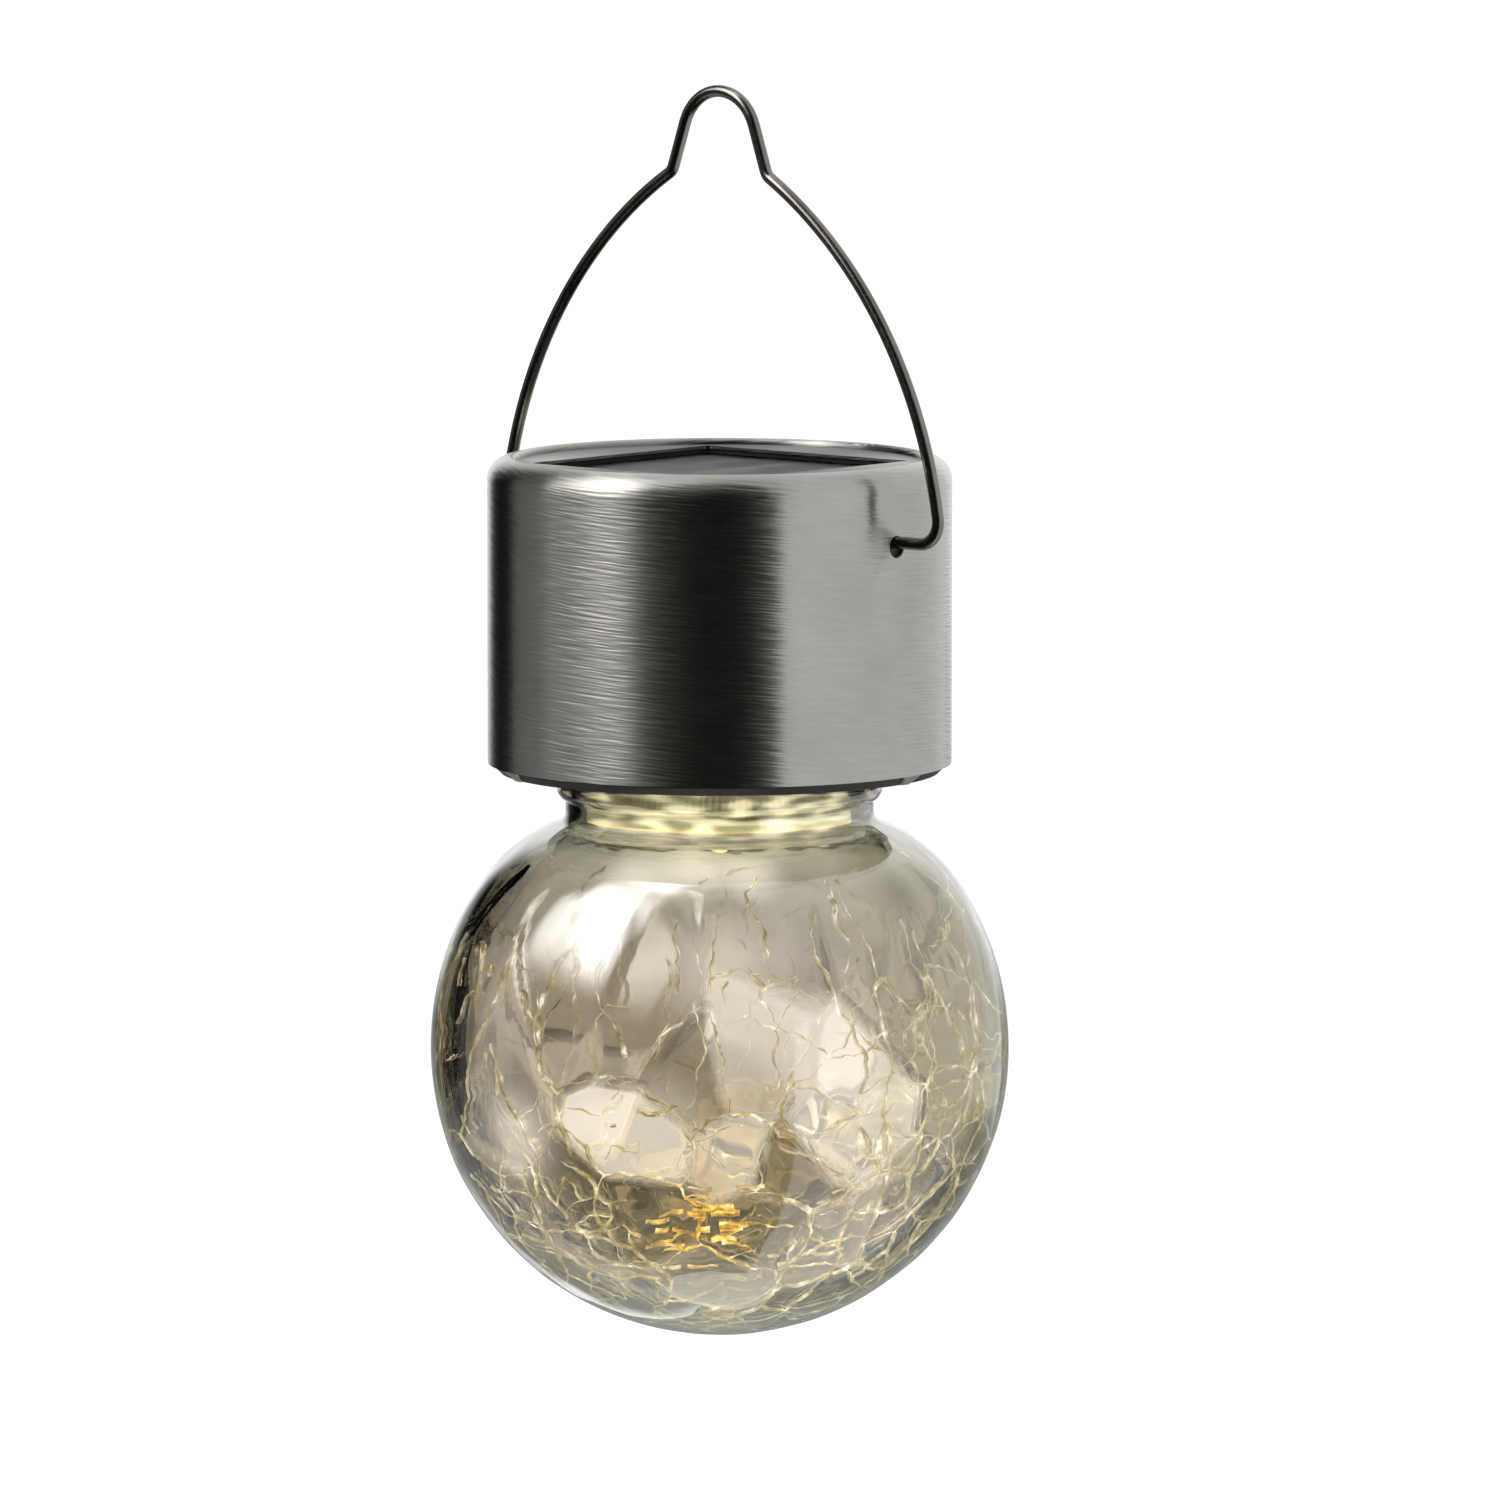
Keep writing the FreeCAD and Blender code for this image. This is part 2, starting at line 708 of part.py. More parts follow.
def make_battery_lead(y_start, side):
    high = V(0, y_start, cell_z - cell_r - lead_d)
    low = V(0, side * (circuit_r - battery_lead_inset), circuit_top)
    drop = (high.z - low.z) / 4
    leave = V(high.x, high.y, high.z - drop)
    arrive = V(low.x, low.y, low.z + drop)
    return tube(rounded_path([high, leave, arrive, low], lead_bend_r), lead_d)


def make_switch_lead(shift):
    _, _, height = switch_sizes()
    start = V(switch_r, shift, base_top + height + 2 * switch_wall)
    end = V(circuit_r - switch_lead_inset, shift, circuit_top)
    top = start.z + switch_lead_rise
    route = [start, V(start.x, shift, top), V(end.x, shift, top), end]
    return around(tube(rounded_path(route, lead_bend_r), lead_d), switch_angle)


def globe_side(offset):
    """Outline of the ball, shoulder and neck in the XZ plane, offset inwards, from the pole up.

    Returns the edges and the point where the neck starts to run straight."""
    ball_r = globe_r - offset
    round_r = shoulder_r - offset
    fillet_r = neck_fillet + offset
    ball = V(0, 0, globe_z)
    shoulder = V(shoulder_x, 0, globe_z + shoulder_rise)
    fillet = V(fillet_x, 0, neck_low)
    pole = V(0, 0, globe_z - ball_r)
    waist = V(ball_r, 0, globe_z)
    meet = on_circle(ball, ball_r, shoulder - ball)
    shoulder_end = on_circle(shoulder, round_r, fillet - shoulder)
    neck_start = V(neck_r - offset, 0, neck_low)
    edges = [
        bulge(ball, ball_r, pole, waist),
        bulge(ball, ball_r, waist, meet),
        bulge(shoulder, round_r, meet, shoulder_end),
        bulge(fillet, fillet_r, shoulder_end, neck_start),
    ]
    return edges, pole, neck_start


def make_globe():
    outside, outer_pole, outer_neck = globe_side(0)
    inside, inner_pole, inner_neck = globe_side(glass_wall)
    lip_low = V(neck_r, 0, lip_top - lip_height)
    lip_out = V(lip_r, 0, lip_top - lip_height / 2)
    lip_high = V(neck_r, 0, lip_top)
    mouth = V(bore_r + mouth_round, 0, lip_top - mouth_round)
    edges = outside + inside + [
        line(outer_neck, lip_low),
        arc(lip_low, lip_out, lip_high),
        line(lip_high, V(mouth.x, 0, lip_top)),
        bulge(mouth, mouth_round, V(mouth.x, 0, lip_top), V(bore_r, 0, mouth.z)),
        line(V(bore_r, 0, mouth.z), inner_neck),
        line(inner_pole, outer_pole),
    ]
    return turned(edges)


def base_screws():
    screw = make_screw(base_screw_d, base_screw_length, base_head_d, base_head_height)
    screw.translate(V(screw_circle_r, 0, base_bottom))
    return pattern(screw, base_screw_count, screw_first_angle)


def board_screws():
    placed = []
    for y in (-board_screw_y, board_screw_y):
        screw = make_screw(board_screw_d, board_screw_length, board_head_d, board_head_height)
        screw.rotate(ORIGIN, V(1, 0, 0), 180)
        screw.translate(V(0, y, circuit_top + board_head_height))
        placed.append(screw)
    return placed


os.makedirs("parts", exist_ok=True)

save("bail_handle", make_bail())
save("cap_shell", make_cap())
save("panel_gasket", make_gasket())
save("panel_glass", block(panel_side, panel_side, cells_top, cover_top))
save("solar_cells", make_cells())
save("panel_board", block(panel_side, panel_side, tray_top, board_top))
save("inner_holder", make_holder())
save("battery", make_battery())
save("battery_contact", make_contact())
save("battery_spring", make_spring())
save("base_plate", make_base())
save("base_screws", base_screws())
save("neck_seal", ring(lip_r - seal_width, lip_r, seal_bottom, base_bottom))
save("lamp_cup", make_cup())
save("plug_ring", make_plug_ring())
save("circuit_board", make_circuit())
save("board_screws", board_screws())
save("led", make_led())
save("driver_chip", block(chip_length, chip_width, circuit_top, circuit_top + chip_height, chip_offset))
save("inductor", make_choke())
save("switch_body", make_switch_body())
save("switch_slider", make_switch_slider())
save("panel_leads", [make_panel_lead(-1), make_panel_lead(1)])
plus_lead = make_battery_lead(contact_y - lead_d / 2, 1)
minus_lead = make_battery_lead(spring_y + lead_d / 2, -1)
save("battery_leads", [plus_lead, minus_lead])
save("switch_leads", [make_switch_lead(shift) for shift in (0, switch_lead_pitch)])
save("glass_globe", make_globe())
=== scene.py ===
import math
import random

import bmesh
import bpy
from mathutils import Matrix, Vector, noise


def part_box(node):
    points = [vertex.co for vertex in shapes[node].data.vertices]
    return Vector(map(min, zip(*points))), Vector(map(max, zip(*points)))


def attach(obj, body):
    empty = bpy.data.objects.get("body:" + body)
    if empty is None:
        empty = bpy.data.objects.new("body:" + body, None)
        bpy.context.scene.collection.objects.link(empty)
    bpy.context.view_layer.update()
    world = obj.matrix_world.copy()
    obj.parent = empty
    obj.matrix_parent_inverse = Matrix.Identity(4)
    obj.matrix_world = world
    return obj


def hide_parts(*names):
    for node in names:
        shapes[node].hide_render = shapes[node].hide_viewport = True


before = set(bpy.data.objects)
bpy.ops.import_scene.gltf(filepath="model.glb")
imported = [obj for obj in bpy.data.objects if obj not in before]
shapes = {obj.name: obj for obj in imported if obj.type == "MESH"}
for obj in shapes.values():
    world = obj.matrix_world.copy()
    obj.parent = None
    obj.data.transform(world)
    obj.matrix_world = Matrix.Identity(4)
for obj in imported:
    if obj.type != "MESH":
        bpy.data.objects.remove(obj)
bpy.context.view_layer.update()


# Inner holder: the housing that carries panel, cell and pegs, inside the cap.
# Injection moulded black plastic with a fine spark texture.
# One moulding, pushed up into the cap and held there by the pegs and the base.

def shader_of(material):
    """The material's Principled shader."""
    return material.node_tree.nodes["Principled BSDF"]


def finish(name, **sockets):
    """New Principled material with its plain values set on the shader's own sockets."""
    material = bpy.data.materials.new(name)
    material.use_nodes = True
    for socket, value in sockets.items():
        shader_of(material).inputs[socket.replace("_", " ")].default_value = value
    return material


def add_node(material, kind, values=None, **settings):
    """New shader node, with its settings and unlinked input values."""
    made = material.node_tree.nodes.new("ShaderNode" + kind)
    for setting, value in settings.items():
        setattr(made, setting, value)
    for socket, value in (values or {}).items():
        made.inputs[socket].default_value = value
    return made


def link(material, source, target):
    """Joins an output to an input."""
    material.node_tree.links.new(source, target)


def place(material, scale=(1, 1, 1)):
    """Object coordinates through a Mapping node, for a pattern in metres."""
    coords = add_node(material, "TexCoord")
    mapping = add_node(material, "Mapping", {"Scale": scale})
    link(material, coords.outputs["Object"], mapping.inputs["Vector"])
    return mapping.outputs["Vector"]


def grain(material, vector, size, detail=4.0, rough=0.5):
    """Noise whose features are about size metres long."""
    made = add_node(material, "TexNoise", {"Scale": 1 / size, "Detail": detail, "Roughness": rough})
    link(material, vector, made.inputs["Vector"])
    return made.outputs["Fac"]


def ramp(material, factor, stops):
    """Colour ramp; stops are (position, colour)."""
    made = add_node(material, "ValToRGB")
    elements = made.color_ramp.elements
    while len(elements) < len(stops):
        elements.new(0.5)
    for element, (position, colour) in zip(elements, stops):
        element.position = position
        element.color = (*colour, 1.0)
    link(material, factor, made.inputs["Fac"])
    return made.outputs["Color"]


def spread(material, factor, low, high, from_low=0.0, from_high=1.0):
    """Factor mapped to run from low to high."""
    values = {"From Min": from_low, "From Max": from_high, "To Min": low, "To Max": high}
    made = add_node(material, "MapRange", values)
    link(material, factor, made.inputs["Value"])
    return made.outputs["Result"]


def emboss(material, height, depth):
    """Bump of that depth in metres."""
    made = add_node(material, "Bump", {"Distance": depth, "Strength": 1.0})
    link(material, height, made.inputs["Height"])
    link(material, made.outputs["Normal"], shader_of(material).inputs["Normal"])


def moulded(name, dark, pale, spark=0.0004, rough=(0.42, 0.58), **sockets):
    """Moulded plastic: two near colours in soft clouds, and a fine spark texture."""
    cloud_size = 0.012
    spark_depth = 0.00002
    material = finish(name, **sockets)
    clouds = grain(material, place(material), cloud_size)
    link(material, ramp(material, clouds, [(0.35, dark), (0.65, pale)]),
         shader_of(material).inputs["Base Color"])
    sparks = grain(material, place(material), spark, 2.0)
    link(material, spread(material, sparks, *rough), shader_of(material).inputs["Roughness"])
    emboss(material, sparks, spark_depth)
    return material


def wear(node, material):
    """Gives a node of the frame its finish."""
    mesh = shapes[node].data
    mesh.materials.clear()
    mesh.materials.append(material)


black_moulding = moulded("black_moulding", (0.016, 0.016, 0.017), (0.030, 0.029, 0.028))
wear("inner_holder", black_moulding)


# Battery: an AA size rechargeable cell in a plain shrink sleeve.
# Plastic film over a steel can, bare at the nub.
# Snapped into the cradle's saddles.
nub_height = 0.0022
sleeve_edge = 0.0001
sleeve_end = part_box("battery")[1].y - nub_height
sleeve = finish("cell_sleeve", Coat_Weight=0.4, Coat_Roughness=0.15)
along = add_node(sleeve, "SeparateXYZ")
link(sleeve, place(sleeve), along.inputs["Vector"])
steel_nub = spread(sleeve, along.outputs["Y"], 0.0, 1.0, sleeve_end, sleeve_end + sleeve_edge)
film = grain(sleeve, place(sleeve, (1, 0.15, 1)), 0.002)
link(sleeve, ramp(sleeve, film, [(0.3, (0.05, 0.20, 0.09)), (0.7, (0.08, 0.27, 0.13))]),
     shader_of(sleeve).inputs["Base Color"])
link(sleeve, steel_nub, shader_of(sleeve).inputs["Metallic"])
link(sleeve, spread(sleeve, film, 0.25, 0.40), shader_of(sleeve).inputs["Roughness"])
wear("battery", sleeve)


# Battery contacts: a flat plate and a conical spring on a tag.
# Nickel plated spring steel, with faint drawing marks.
# Slid into the cradle's end walls.
plated = finish("nickel_plate", Metallic=1.0, Anisotropic=0.3)
marks = grain(plated, place(plated, (1, 1, 0.1)), 0.0008)
link(plated, ramp(plated, marks, [(0.3, (0.58, 0.56, 0.50)), (0.7, (0.74, 0.72, 0.66))]),
     shader_of(plated).inputs["Base Color"])
link(plated, spread(plated, marks, 0.18, 0.34), shader_of(plated).inputs["Roughness"])
for node in ("battery_contact", "battery_spring"):
    wear(node, plated)


# Solar panel: backing board, strips of silicon and a clear cover.
# Laminate, thin film cells and float glass with a greenish edge.
# Bonded into one sheet and dropped into the holder's tray.
laminate = moulded("panel_laminate", (0.010, 0.010, 0.011), (0.018, 0.018, 0.020), 0.0008)
wear("panel_board", laminate)

silicon = finish("thin_film_silicon", Specular_IOR_Level=0.2)
bloom = grain(silicon, place(silicon), 0.02, 3.0)
link(silicon, ramp(silicon, bloom, [(0.3, (0.235, 0.215, 0.228)), (0.7, (0.275, 0.254, 0.266))]),
     shader_of(silicon).inputs["Base Color"])
link(silicon, spread(silicon, bloom, 0.50, 0.62), shader_of(silicon).inputs["Roughness"])
wear("solar_cells", silicon)

cover = finish("panel_cover_glass", IOR=1.10, Transmission_Weight=1.0)
smears = grain(cover, place(cover, (1, 0.4, 1)), 0.006)
link(cover, spread(cover, smears, 0.30, 0.42, 0.4, 0.8), shader_of(cover).inputs["Roughness"])
link(cover, ramp(cover, smears, [(0.3, (0.84, 0.86, 0.86)), (0.7, (0.88, 0.89, 0.89))]),
     shader_of(cover).inputs["Base Color"])
wear("panel_glass", cover)


# Panel gasket: a square foam frame between the steel and the panel.
# Closed cell black foam, matt, with open pores at its cut edges.
# Stuck to the cover, pressed up against the cap's flange.
foam = moulded("closed_cell_foam", (0.010, 0.010, 0.010), (0.022, 0.022, 0.022), 0.0006, (0.85, 0.98))
wear("panel_gasket", foam)


# Cap shell: a drawn cup with a rolled rim, a square window, two holes and bent lugs.
# Brushed stainless steel, with hairlines running round it, and painted shade darkening the recessed flange.
# Pressed over the holder, its lugs bent in under the base plate.
cap_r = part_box("cap_shell")[1].x
rim_roll = 0.0052
flange_r = cap_r - rim_roll
flange_edge = 0.0006
flange_shade = 0.3
hairline = 0.00045
hairline_run = 0.0080
hairline_depth = 0.00015
brush_slant = math.radians(4)

brushed = finish("brushed_steel", Metallic=1.0, Anisotropic=1.0, Anisotropic_Rotation=0.25)
on_cap = add_node(brushed, "SeparateXYZ")
link(brushed, place(brushed), on_cap.inputs["Vector"])
bearing = add_node(brushed, "Math", operation="ARCTAN2")
link(brushed, on_cap.outputs["Y"], bearing.inputs[0])
link(brushed, on_cap.outputs["X"], bearing.inputs[1])
slanted = add_node(brushed, "Math", {1: cap_r * math.tan(brush_slant)}, operation="MULTIPLY_ADD")
link(brushed, bearing.outputs["Value"], slanted.inputs[0])
link(brushed, on_cap.outputs["Z"], slanted.inputs[2])
stroke = add_node(brushed, "Math", {1: cap_r * hairline / hairline_run}, operation="MULTIPLY")
link(brushed, bearing.outputs["Value"], stroke.inputs[0])
unrolled = add_node(brushed, "CombineXYZ")
link(brushed, stroke.outputs["Value"], unrolled.inputs["X"])
link(brushed, slanted.outputs["Value"], unrolled.inputs["Z"])
lines = grain(brushed, unrolled.outputs["Vector"], hairline, 1.0)
stains = grain(brushed, place(brushed), 0.016, 5.0, 0.6)
metal = ramp(brushed, stains, [(0.25, (0.49, 0.479, 0.440)), (0.75, (0.58, 0.567, 0.524))])
scored = ramp(brushed, lines, [(0.36, (0.95, 0.95, 0.95)), (0.64, (1.04, 1.04, 1.04))])
scored_metal = add_node(brushed, "VectorMath", operation="MULTIPLY")
link(brushed, metal, scored_metal.inputs[0])
link(brushed, scored, scored_metal.inputs[1])
# Painted shade: the flange inside the rolled rim is darkened to flange_shade of the steel's colour.
off_axis = add_node(brushed, "VectorMath", operation="LENGTH")
link(brushed, place(brushed, (1, 1, 0)), off_axis.inputs[0])
shaded_metal = add_node(brushed, "VectorMath", operation="SCALE")
link(brushed, scored_metal.outputs["Vector"], shaded_metal.inputs[0])
flange_shading = spread(brushed, off_axis.outputs["Value"], flange_shade, 1.0, flange_r, flange_r + flange_edge)
link(brushed, flange_shading, shaded_metal.inputs["Scale"])
link(brushed, shaded_metal.outputs["Vector"], shader_of(brushed).inputs["Base Color"])
link(brushed, spread(brushed, lines, 0.29, 0.33, 0.3, 0.7), shader_of(brushed).inputs["Roughness"])
emboss(brushed, lines, hairline_depth)
tangent = add_node(brushed, "Tangent", direction_type="RADIAL", axis="Z")
link(brushed, tangent.outputs["Tangent"], shader_of(brushed).inputs["Tangent"])
wear("cap_shell", brushed)


# Base plate and switch: the plate closes the cap, with a slide switch over a slot.
# Black moulded plastic; the thumb slider is a little glossier.
# Three screws hold the plate to the holder's posts.
wear("base_plate", black_moulding)
switch_plastic = moulded("switch_plastic", (0.012, 0.012, 0.013), (0.022, 0.022, 0.023),
                         0.0003, (0.30, 0.42))
for node in ("switch_body", "switch_slider"):
    wear(node, switch_plastic)


# Screws: three in the base plate, two in the driver board.
# Zinc plated steel with a bluish bloom, turned marks on the heads.
# Driven into plain pilot holes, where they cut their own thread.
zinc = finish("zinc_plate", Metallic=1.0)
turning = grain(zinc, place(zinc), 0.0012)
link(zinc, ramp(zinc, turning, [(0.3, (0.50, 0.51, 0.52)), (0.7, (0.66, 0.66, 0.65))]),
     shader_of(zinc).inputs["Base Color"])
link(zinc, spread(zinc, turning, 0.22, 0.40), shader_of(zinc).inputs["Roughness"])
for node in ("base_screws", "board_screws"):
    wear(node, zinc)


# Lamp cup: the plug that reaches into the globe's neck and holds the lamp's board.
# Pale moulded plastic with a painted warm glow all over, stronger round the LED and along its foot.
# Bonded by its flange to the top of the base plate.
halo_start = 0.0025
halo_end = 0.016
halo_light = 1.6
rim_height = 0.0012
rim_light = 1.3
side_light = 0.72

pale_moulding = moulded("pale_moulding", (0.62, 0.60, 0.53), (0.70, 0.68, 0.62), 0.0005)
# Painted glow: a halo round the axis, a brighter warm band at the foot, and a weaker glow on the sides.
from_axis = add_node(pale_moulding, "VectorMath", operation="LENGTH")
link(pale_moulding, place(pale_moulding, (1, 1, 0)), from_axis.inputs[0])
halo = spread(pale_moulding, from_axis.outputs["Value"], halo_light, 0.0, halo_start, halo_end)
plug_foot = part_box("lamp_cup")[0].z
on_plug = add_node(pale_moulding, "SeparateXYZ")
link(pale_moulding, place(pale_moulding), on_plug.inputs["Vector"])
above_foot = spread(pale_moulding, on_plug.outputs["Z"], 0.0, 1.0, plug_foot, plug_foot + rim_height)
lamplight = [(0.0, (1.0, 0.66, 0.22)), (0.5, (1.0, 0.80, 0.42)), (1.0, (1.0, 0.94, 0.66))]
link(pale_moulding, ramp(pale_moulding, above_foot, lamplight),
     shader_of(pale_moulding).inputs["Emission Color"])
plug_light = add_node(pale_moulding, "Math", operation="ADD")
link(pale_moulding, halo, plug_light.inputs[0])
link(pale_moulding, spread(pale_moulding, above_foot, rim_light, side_light), plug_light.inputs[1])
link(pale_moulding, plug_light.outputs["Value"], shader_of(pale_moulding).inputs["Emission Strength"])
wear("lamp_cup", pale_moulding)


# Seals: the flat ring under the base plate and the ring that grips the neck's bore.
# Translucent silicone, slightly milky.
# Stretched over the cup's shoulder and into its groove.
silicone = moulded("milky_silicone", (0.66, 0.66, 0.60), (0.74, 0.74, 0.68), 0.001, (0.35, 0.5),
                   Transmission_Weight=0.35, IOR=1.41)
for node in ("neck_seal", "plug_ring"):
    wear(node, silicone)


# Driver board with its chip and choke, and the leads to panel, cell and switch.
# Green solder mask, moulded package, ferrite bobbin, soft insulated wire.
# Screwed to posts in the cup; the leads are soldered to its top.
mask = moulded("solder_mask", (0.020, 0.090, 0.045), (0.030, 0.125, 0.062), 0.0009, (0.28, 0.40))
wear("circuit_board", mask)
wear("driver_chip", moulded("chip_package", (0.014, 0.014, 0.015), (0.026, 0.026, 0.027), 0.0003))
wear("inductor", moulded("ferrite", (0.040, 0.036, 0.034), (0.075, 0.068, 0.064), 0.0003, (0.6, 0.8)))
red_lead = moulded("red_lead", (0.34, 0.020, 0.016), (0.44, 0.034, 0.026), 0.0006, (0.38, 0.5))
black_lead = moulded("black_lead", (0.014, 0.014, 0.014), (0.026, 0.026, 0.026), 0.0006, (0.38, 0.5))
for node in ("panel_leads", "battery_leads"):
    wear(node, red_lead)
wear("switch_leads", black_lead)


# LED: a round dome on two pins, shining down into the globe.
# Clear epoxy with a warm chip in it.
# Soldered to the board, its dome through the cup's floor.
dome_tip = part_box("led")[0].z
dome_height = 0.005
lens = finish("led_dome", Roughness=0.1, Transmission_Weight=0.2)
on_dome = add_node(lens, "SeparateXYZ")
link(lens, place(lens), on_dome.inputs["Vector"])
shade = spread(lens, on_dome.outputs["Z"], 0.0, 1.0, dome_tip, dome_tip + dome_height)
link(lens, ramp(lens, shade, [(0.0, (1.0, 0.70, 0.26)), (1.0, (1.0, 0.58, 0.15))]),
     shader_of(lens).inputs["Emission Color"])
link(lens, spread(lens, shade, 1.5, 1.0), shader_of(lens).inputs["Emission Strength"])
wear("led", lens)


# Glass globe: a blown ball with a shoulder, a short neck and a beaded lip.
# Clear glass with a champagne lustre, olive towards the right, its inner wall broken into tilted cells,
# with painted reflections: pale glowing cells and patches, a dark patch, and glints and shade on the neck.
# Pushed up over the ring on the lamp cup, lip to the flat seal.
glass_low, glass_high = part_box("glass_globe")
globe_r = glass_high.x
globe_z = glass_low.z + globe_r
lip_top = glass_high.z
glass_wall = 0.0026
shoulder_r = 0.026
shoulder_angle = math.radians(54)
neck_r = 0.0266
neck_fillet = 0.0025
lip_r = 0.02805
lip_height = 0.0036
mouth_round = 0.0008
globe_segments = 288

cell_count = 84
cell_tilt = 0.16
cell_limit = 0.0011
push_rounds = 3
push_reach = 0.5
push_strength = 0.0012
seam_width = 0.035
upper_stretch = 0.5
top_latitude = math.radians(80)
ripple_depth = 0.00030
neck_ripple = 0.00025
neck_ripple_scale = 240.0
neck_rows = 5
neck_glints = 0.9
neck_painted_light = 0.3
neck_painted_side_shade = 0.85
neck_glint_scale = 200.0
neck_glint_flat = 4.5
bead_shade = 0.0007
bead_shade_dark = 0.9
foot_ripple = 0.00022
foot_ripple_scale = 15.0

# Cells given a painted pale, glowing reflection, seen from the front in globe radii: right, up, how strong.
painted_glare_cells = (
    (-0.24, -0.29, 1.0),
    (0.04, -0.36, 0.9),
    (0.11, -0.06, 1.0),
    (0.38, -0.27, 0.9),
    (-0.80, -0.22, 0.3))
painted_glare_chance = 0.14

# Painted reflections, soft pale glowing patches and a dark one below zero: right, up, reach, how strong.
painted_reflections = (
    (-0.30, 0.60, 0.19, 0.90),
    (-0.10, 0.63, 0.19, 1.0),
    (0.10, 0.62, 0.17, 0.90),
    (0.02, 0.30, 0.34, 0.75),
    (-0.23, -0.27, 0.28, 0.65),
    (-0.70, -0.30, 0.24, 0.75),
    (0.62, 0.54, 0.19, -1.0))

view_turn = math.radians(41)
view_rise = math.radians(6.5)
view_right = Vector((math.cos(view_turn), math.sin(view_turn), 0))
view_level = Vector((math.sin(view_turn), -math.cos(view_turn), 0))


def arc_points(centre, radius, start, end, count):
    """Points (r, z) on an arc; angles in radians from the horizontal."""
    steps = [start + (end - start) * i / count for i in range(count + 1)]
    return [(centre[0] + radius * math.cos(a), centre[1] + radius * math.sin(a)) for a in steps]


def wall_outline(offset, count):
    """Ball, shoulder and neck fillet, offset inwards, from the bottom pole up."""
    lean = math.pi / 2 - shoulder_angle
    reach = globe_r - shoulder_r
    shoulder = (reach * math.cos(lean), globe_z + reach * math.sin(lean))
    fillet_x = neck_r + neck_fillet
    rise = math.sqrt((shoulder_r + neck_fillet) ** 2 - (fillet_x - shoulder[0]) ** 2)
    fillet = (fillet_x, shoulder[1] + rise)
    meet = math.atan2(rise, fillet_x - shoulder[0])
    ball = arc_points((0, globe_z), globe_r - offset, -math.pi / 2, lean, count)
    bend = arc_points(shoulder, shoulder_r - offset, lean, meet, count // 5)
    hollow = arc_points(fillet, neck_fillet + offset, meet + math.pi, math.pi, 6)
    return ball + bend[1:] + hollow[1:]


def to_cells(direction):
    """Direction from the globe's centre, squeezed so that upper cells come out tall."""
    latitude = math.asin(max(-1.0, min(1.0, direction.z)))
    if latitude > 0:
        latitude *= upper_stretch
    flat = Vector((direction.x, direction.y, 0)).normalized() * math.cos(latitude)
    return Vector((flat.x, flat.y, math.sin(latitude)))


def from_cells(direction):
    """The way back from the squeezed directions."""
    latitude = math.asin(max(-1.0, min(1.0, direction.z)))
    if latitude > 0:
        latitude = min(latitude / upper_stretch, top_latitude)
    flat = Vector((direction.x, direction.y, 0)).normalized() * math.cos(latitude)
    return Vector((flat.x, flat.y, math.sin(latitude)))


def random_direction(draw):
    """Unit vector, any way being as likely as any other."""
    z = draw.uniform(-1, 1)
    a = draw.uniform(0, 2 * math.pi)
    flat = math.sqrt(1 - z * z)
    return Vector((flat * math.cos(a), flat * math.sin(a), z))


def scattered(draw, count, held=()):
    """Random directions, pushed apart so that cells are of like size; the held ones stay."""
    found = list(held) + [random_direction(draw) for _ in range(count - len(held))]
    for _ in range(push_rounds):
        pushed = list(held)
        for one in found[len(held):]:
            push = Vector()
            for other in found:
                gap = one - other
                if 0 < gap.length < push_reach:
                    push += gap / gap.length ** 3
            pushed.append((one + push * push_strength).normalized())
        found = pushed
    return found


def on_near_wall(right, up):
    """Direction to the near wall, for a place seen from the front, in globe radii."""
    away = math.sqrt(1 - right ** 2 - up ** 2)
    climb = Vector((0, 0, 1))
    view_up = climb * math.cos(view_rise) - view_level * math.sin(view_rise)
    view_out = view_level * math.cos(view_rise) + climb * math.sin(view_rise)
    return view_right * right + view_up * up + view_out * away


draw = random.Random(11)
glare_seeds = [to_cells(on_near_wall(right, up)) for right, up, _ in painted_glare_cells]
seeds = scattered(draw, cell_count, glare_seeds)
tilts = []
cell_glare = []
for index, seed in enumerate(seeds):
    across = random_direction(draw)
    across -= seed * across.dot(seed)
    tilts.append(across.normalized() * cell_tilt * draw.uniform(0.25, 1.0))
    # Painted reflection: a few random lower cells also glow pale.
    random_glare = draw.uniform(0.25, 0.6) if draw.random() < painted_glare_chance and seed.z < 0.2 else 0.0
    cell_glare.append(painted_glare_cells[index][2] if index < len(painted_glare_cells) else random_glare)
reflection_patches = [(on_near_wall(right, up), reach, strength) for right, up, reach, strength in painted_reflections]


def smooth(value, low, high):
    """0 below low, 1 above high, with a smooth run between."""
    share = max(0.0, min(1.0, (value - low) / (high - low)))
    return share * share * (3 - 2 * share)


def inner_wall(direction):
    """How far a point of the inner wall moves with its tilted cell, metres, and how much painted reflection
    it takes.
    """
    here = to_cells(direction)
    ranked = sorted(((here - seed).length, i) for i, seed in enumerate(seeds))[:2]
    (near, first), (far, second) = ranked
    share = 0.5 * (1 - smooth(far - near, 0, seam_width))
    step = 0.0
    painted_glare = 0.0
    for i, weight in ((first, 1 - share), (second, share)):
        off_centre = here - seeds[i]
        step += weight * off_centre.dot(tilts[i]) * globe_r
        fade = 0.80 + 1.3 * off_centre.dot(tilts[i].normalized()) + 0.3 * noise.noise(direction * 7)
        painted_glare += weight * cell_glare[i] * max(0.0, min(1.0, fade))
    for axis, reach, strength in reflection_patches:
        painted_glare += strength * (1 - smooth((direction - axis).length, 0.0, reach))
    step = max(-cell_limit, min(cell_limit, step))
    step *= 1 - smooth(direction.z, 0.35, 0.72)
    step += foot_ripple * noise.noise(direction * foot_ripple_scale) * smooth(-direction.z, 0.25, 0.5)
    return step, painted_glare


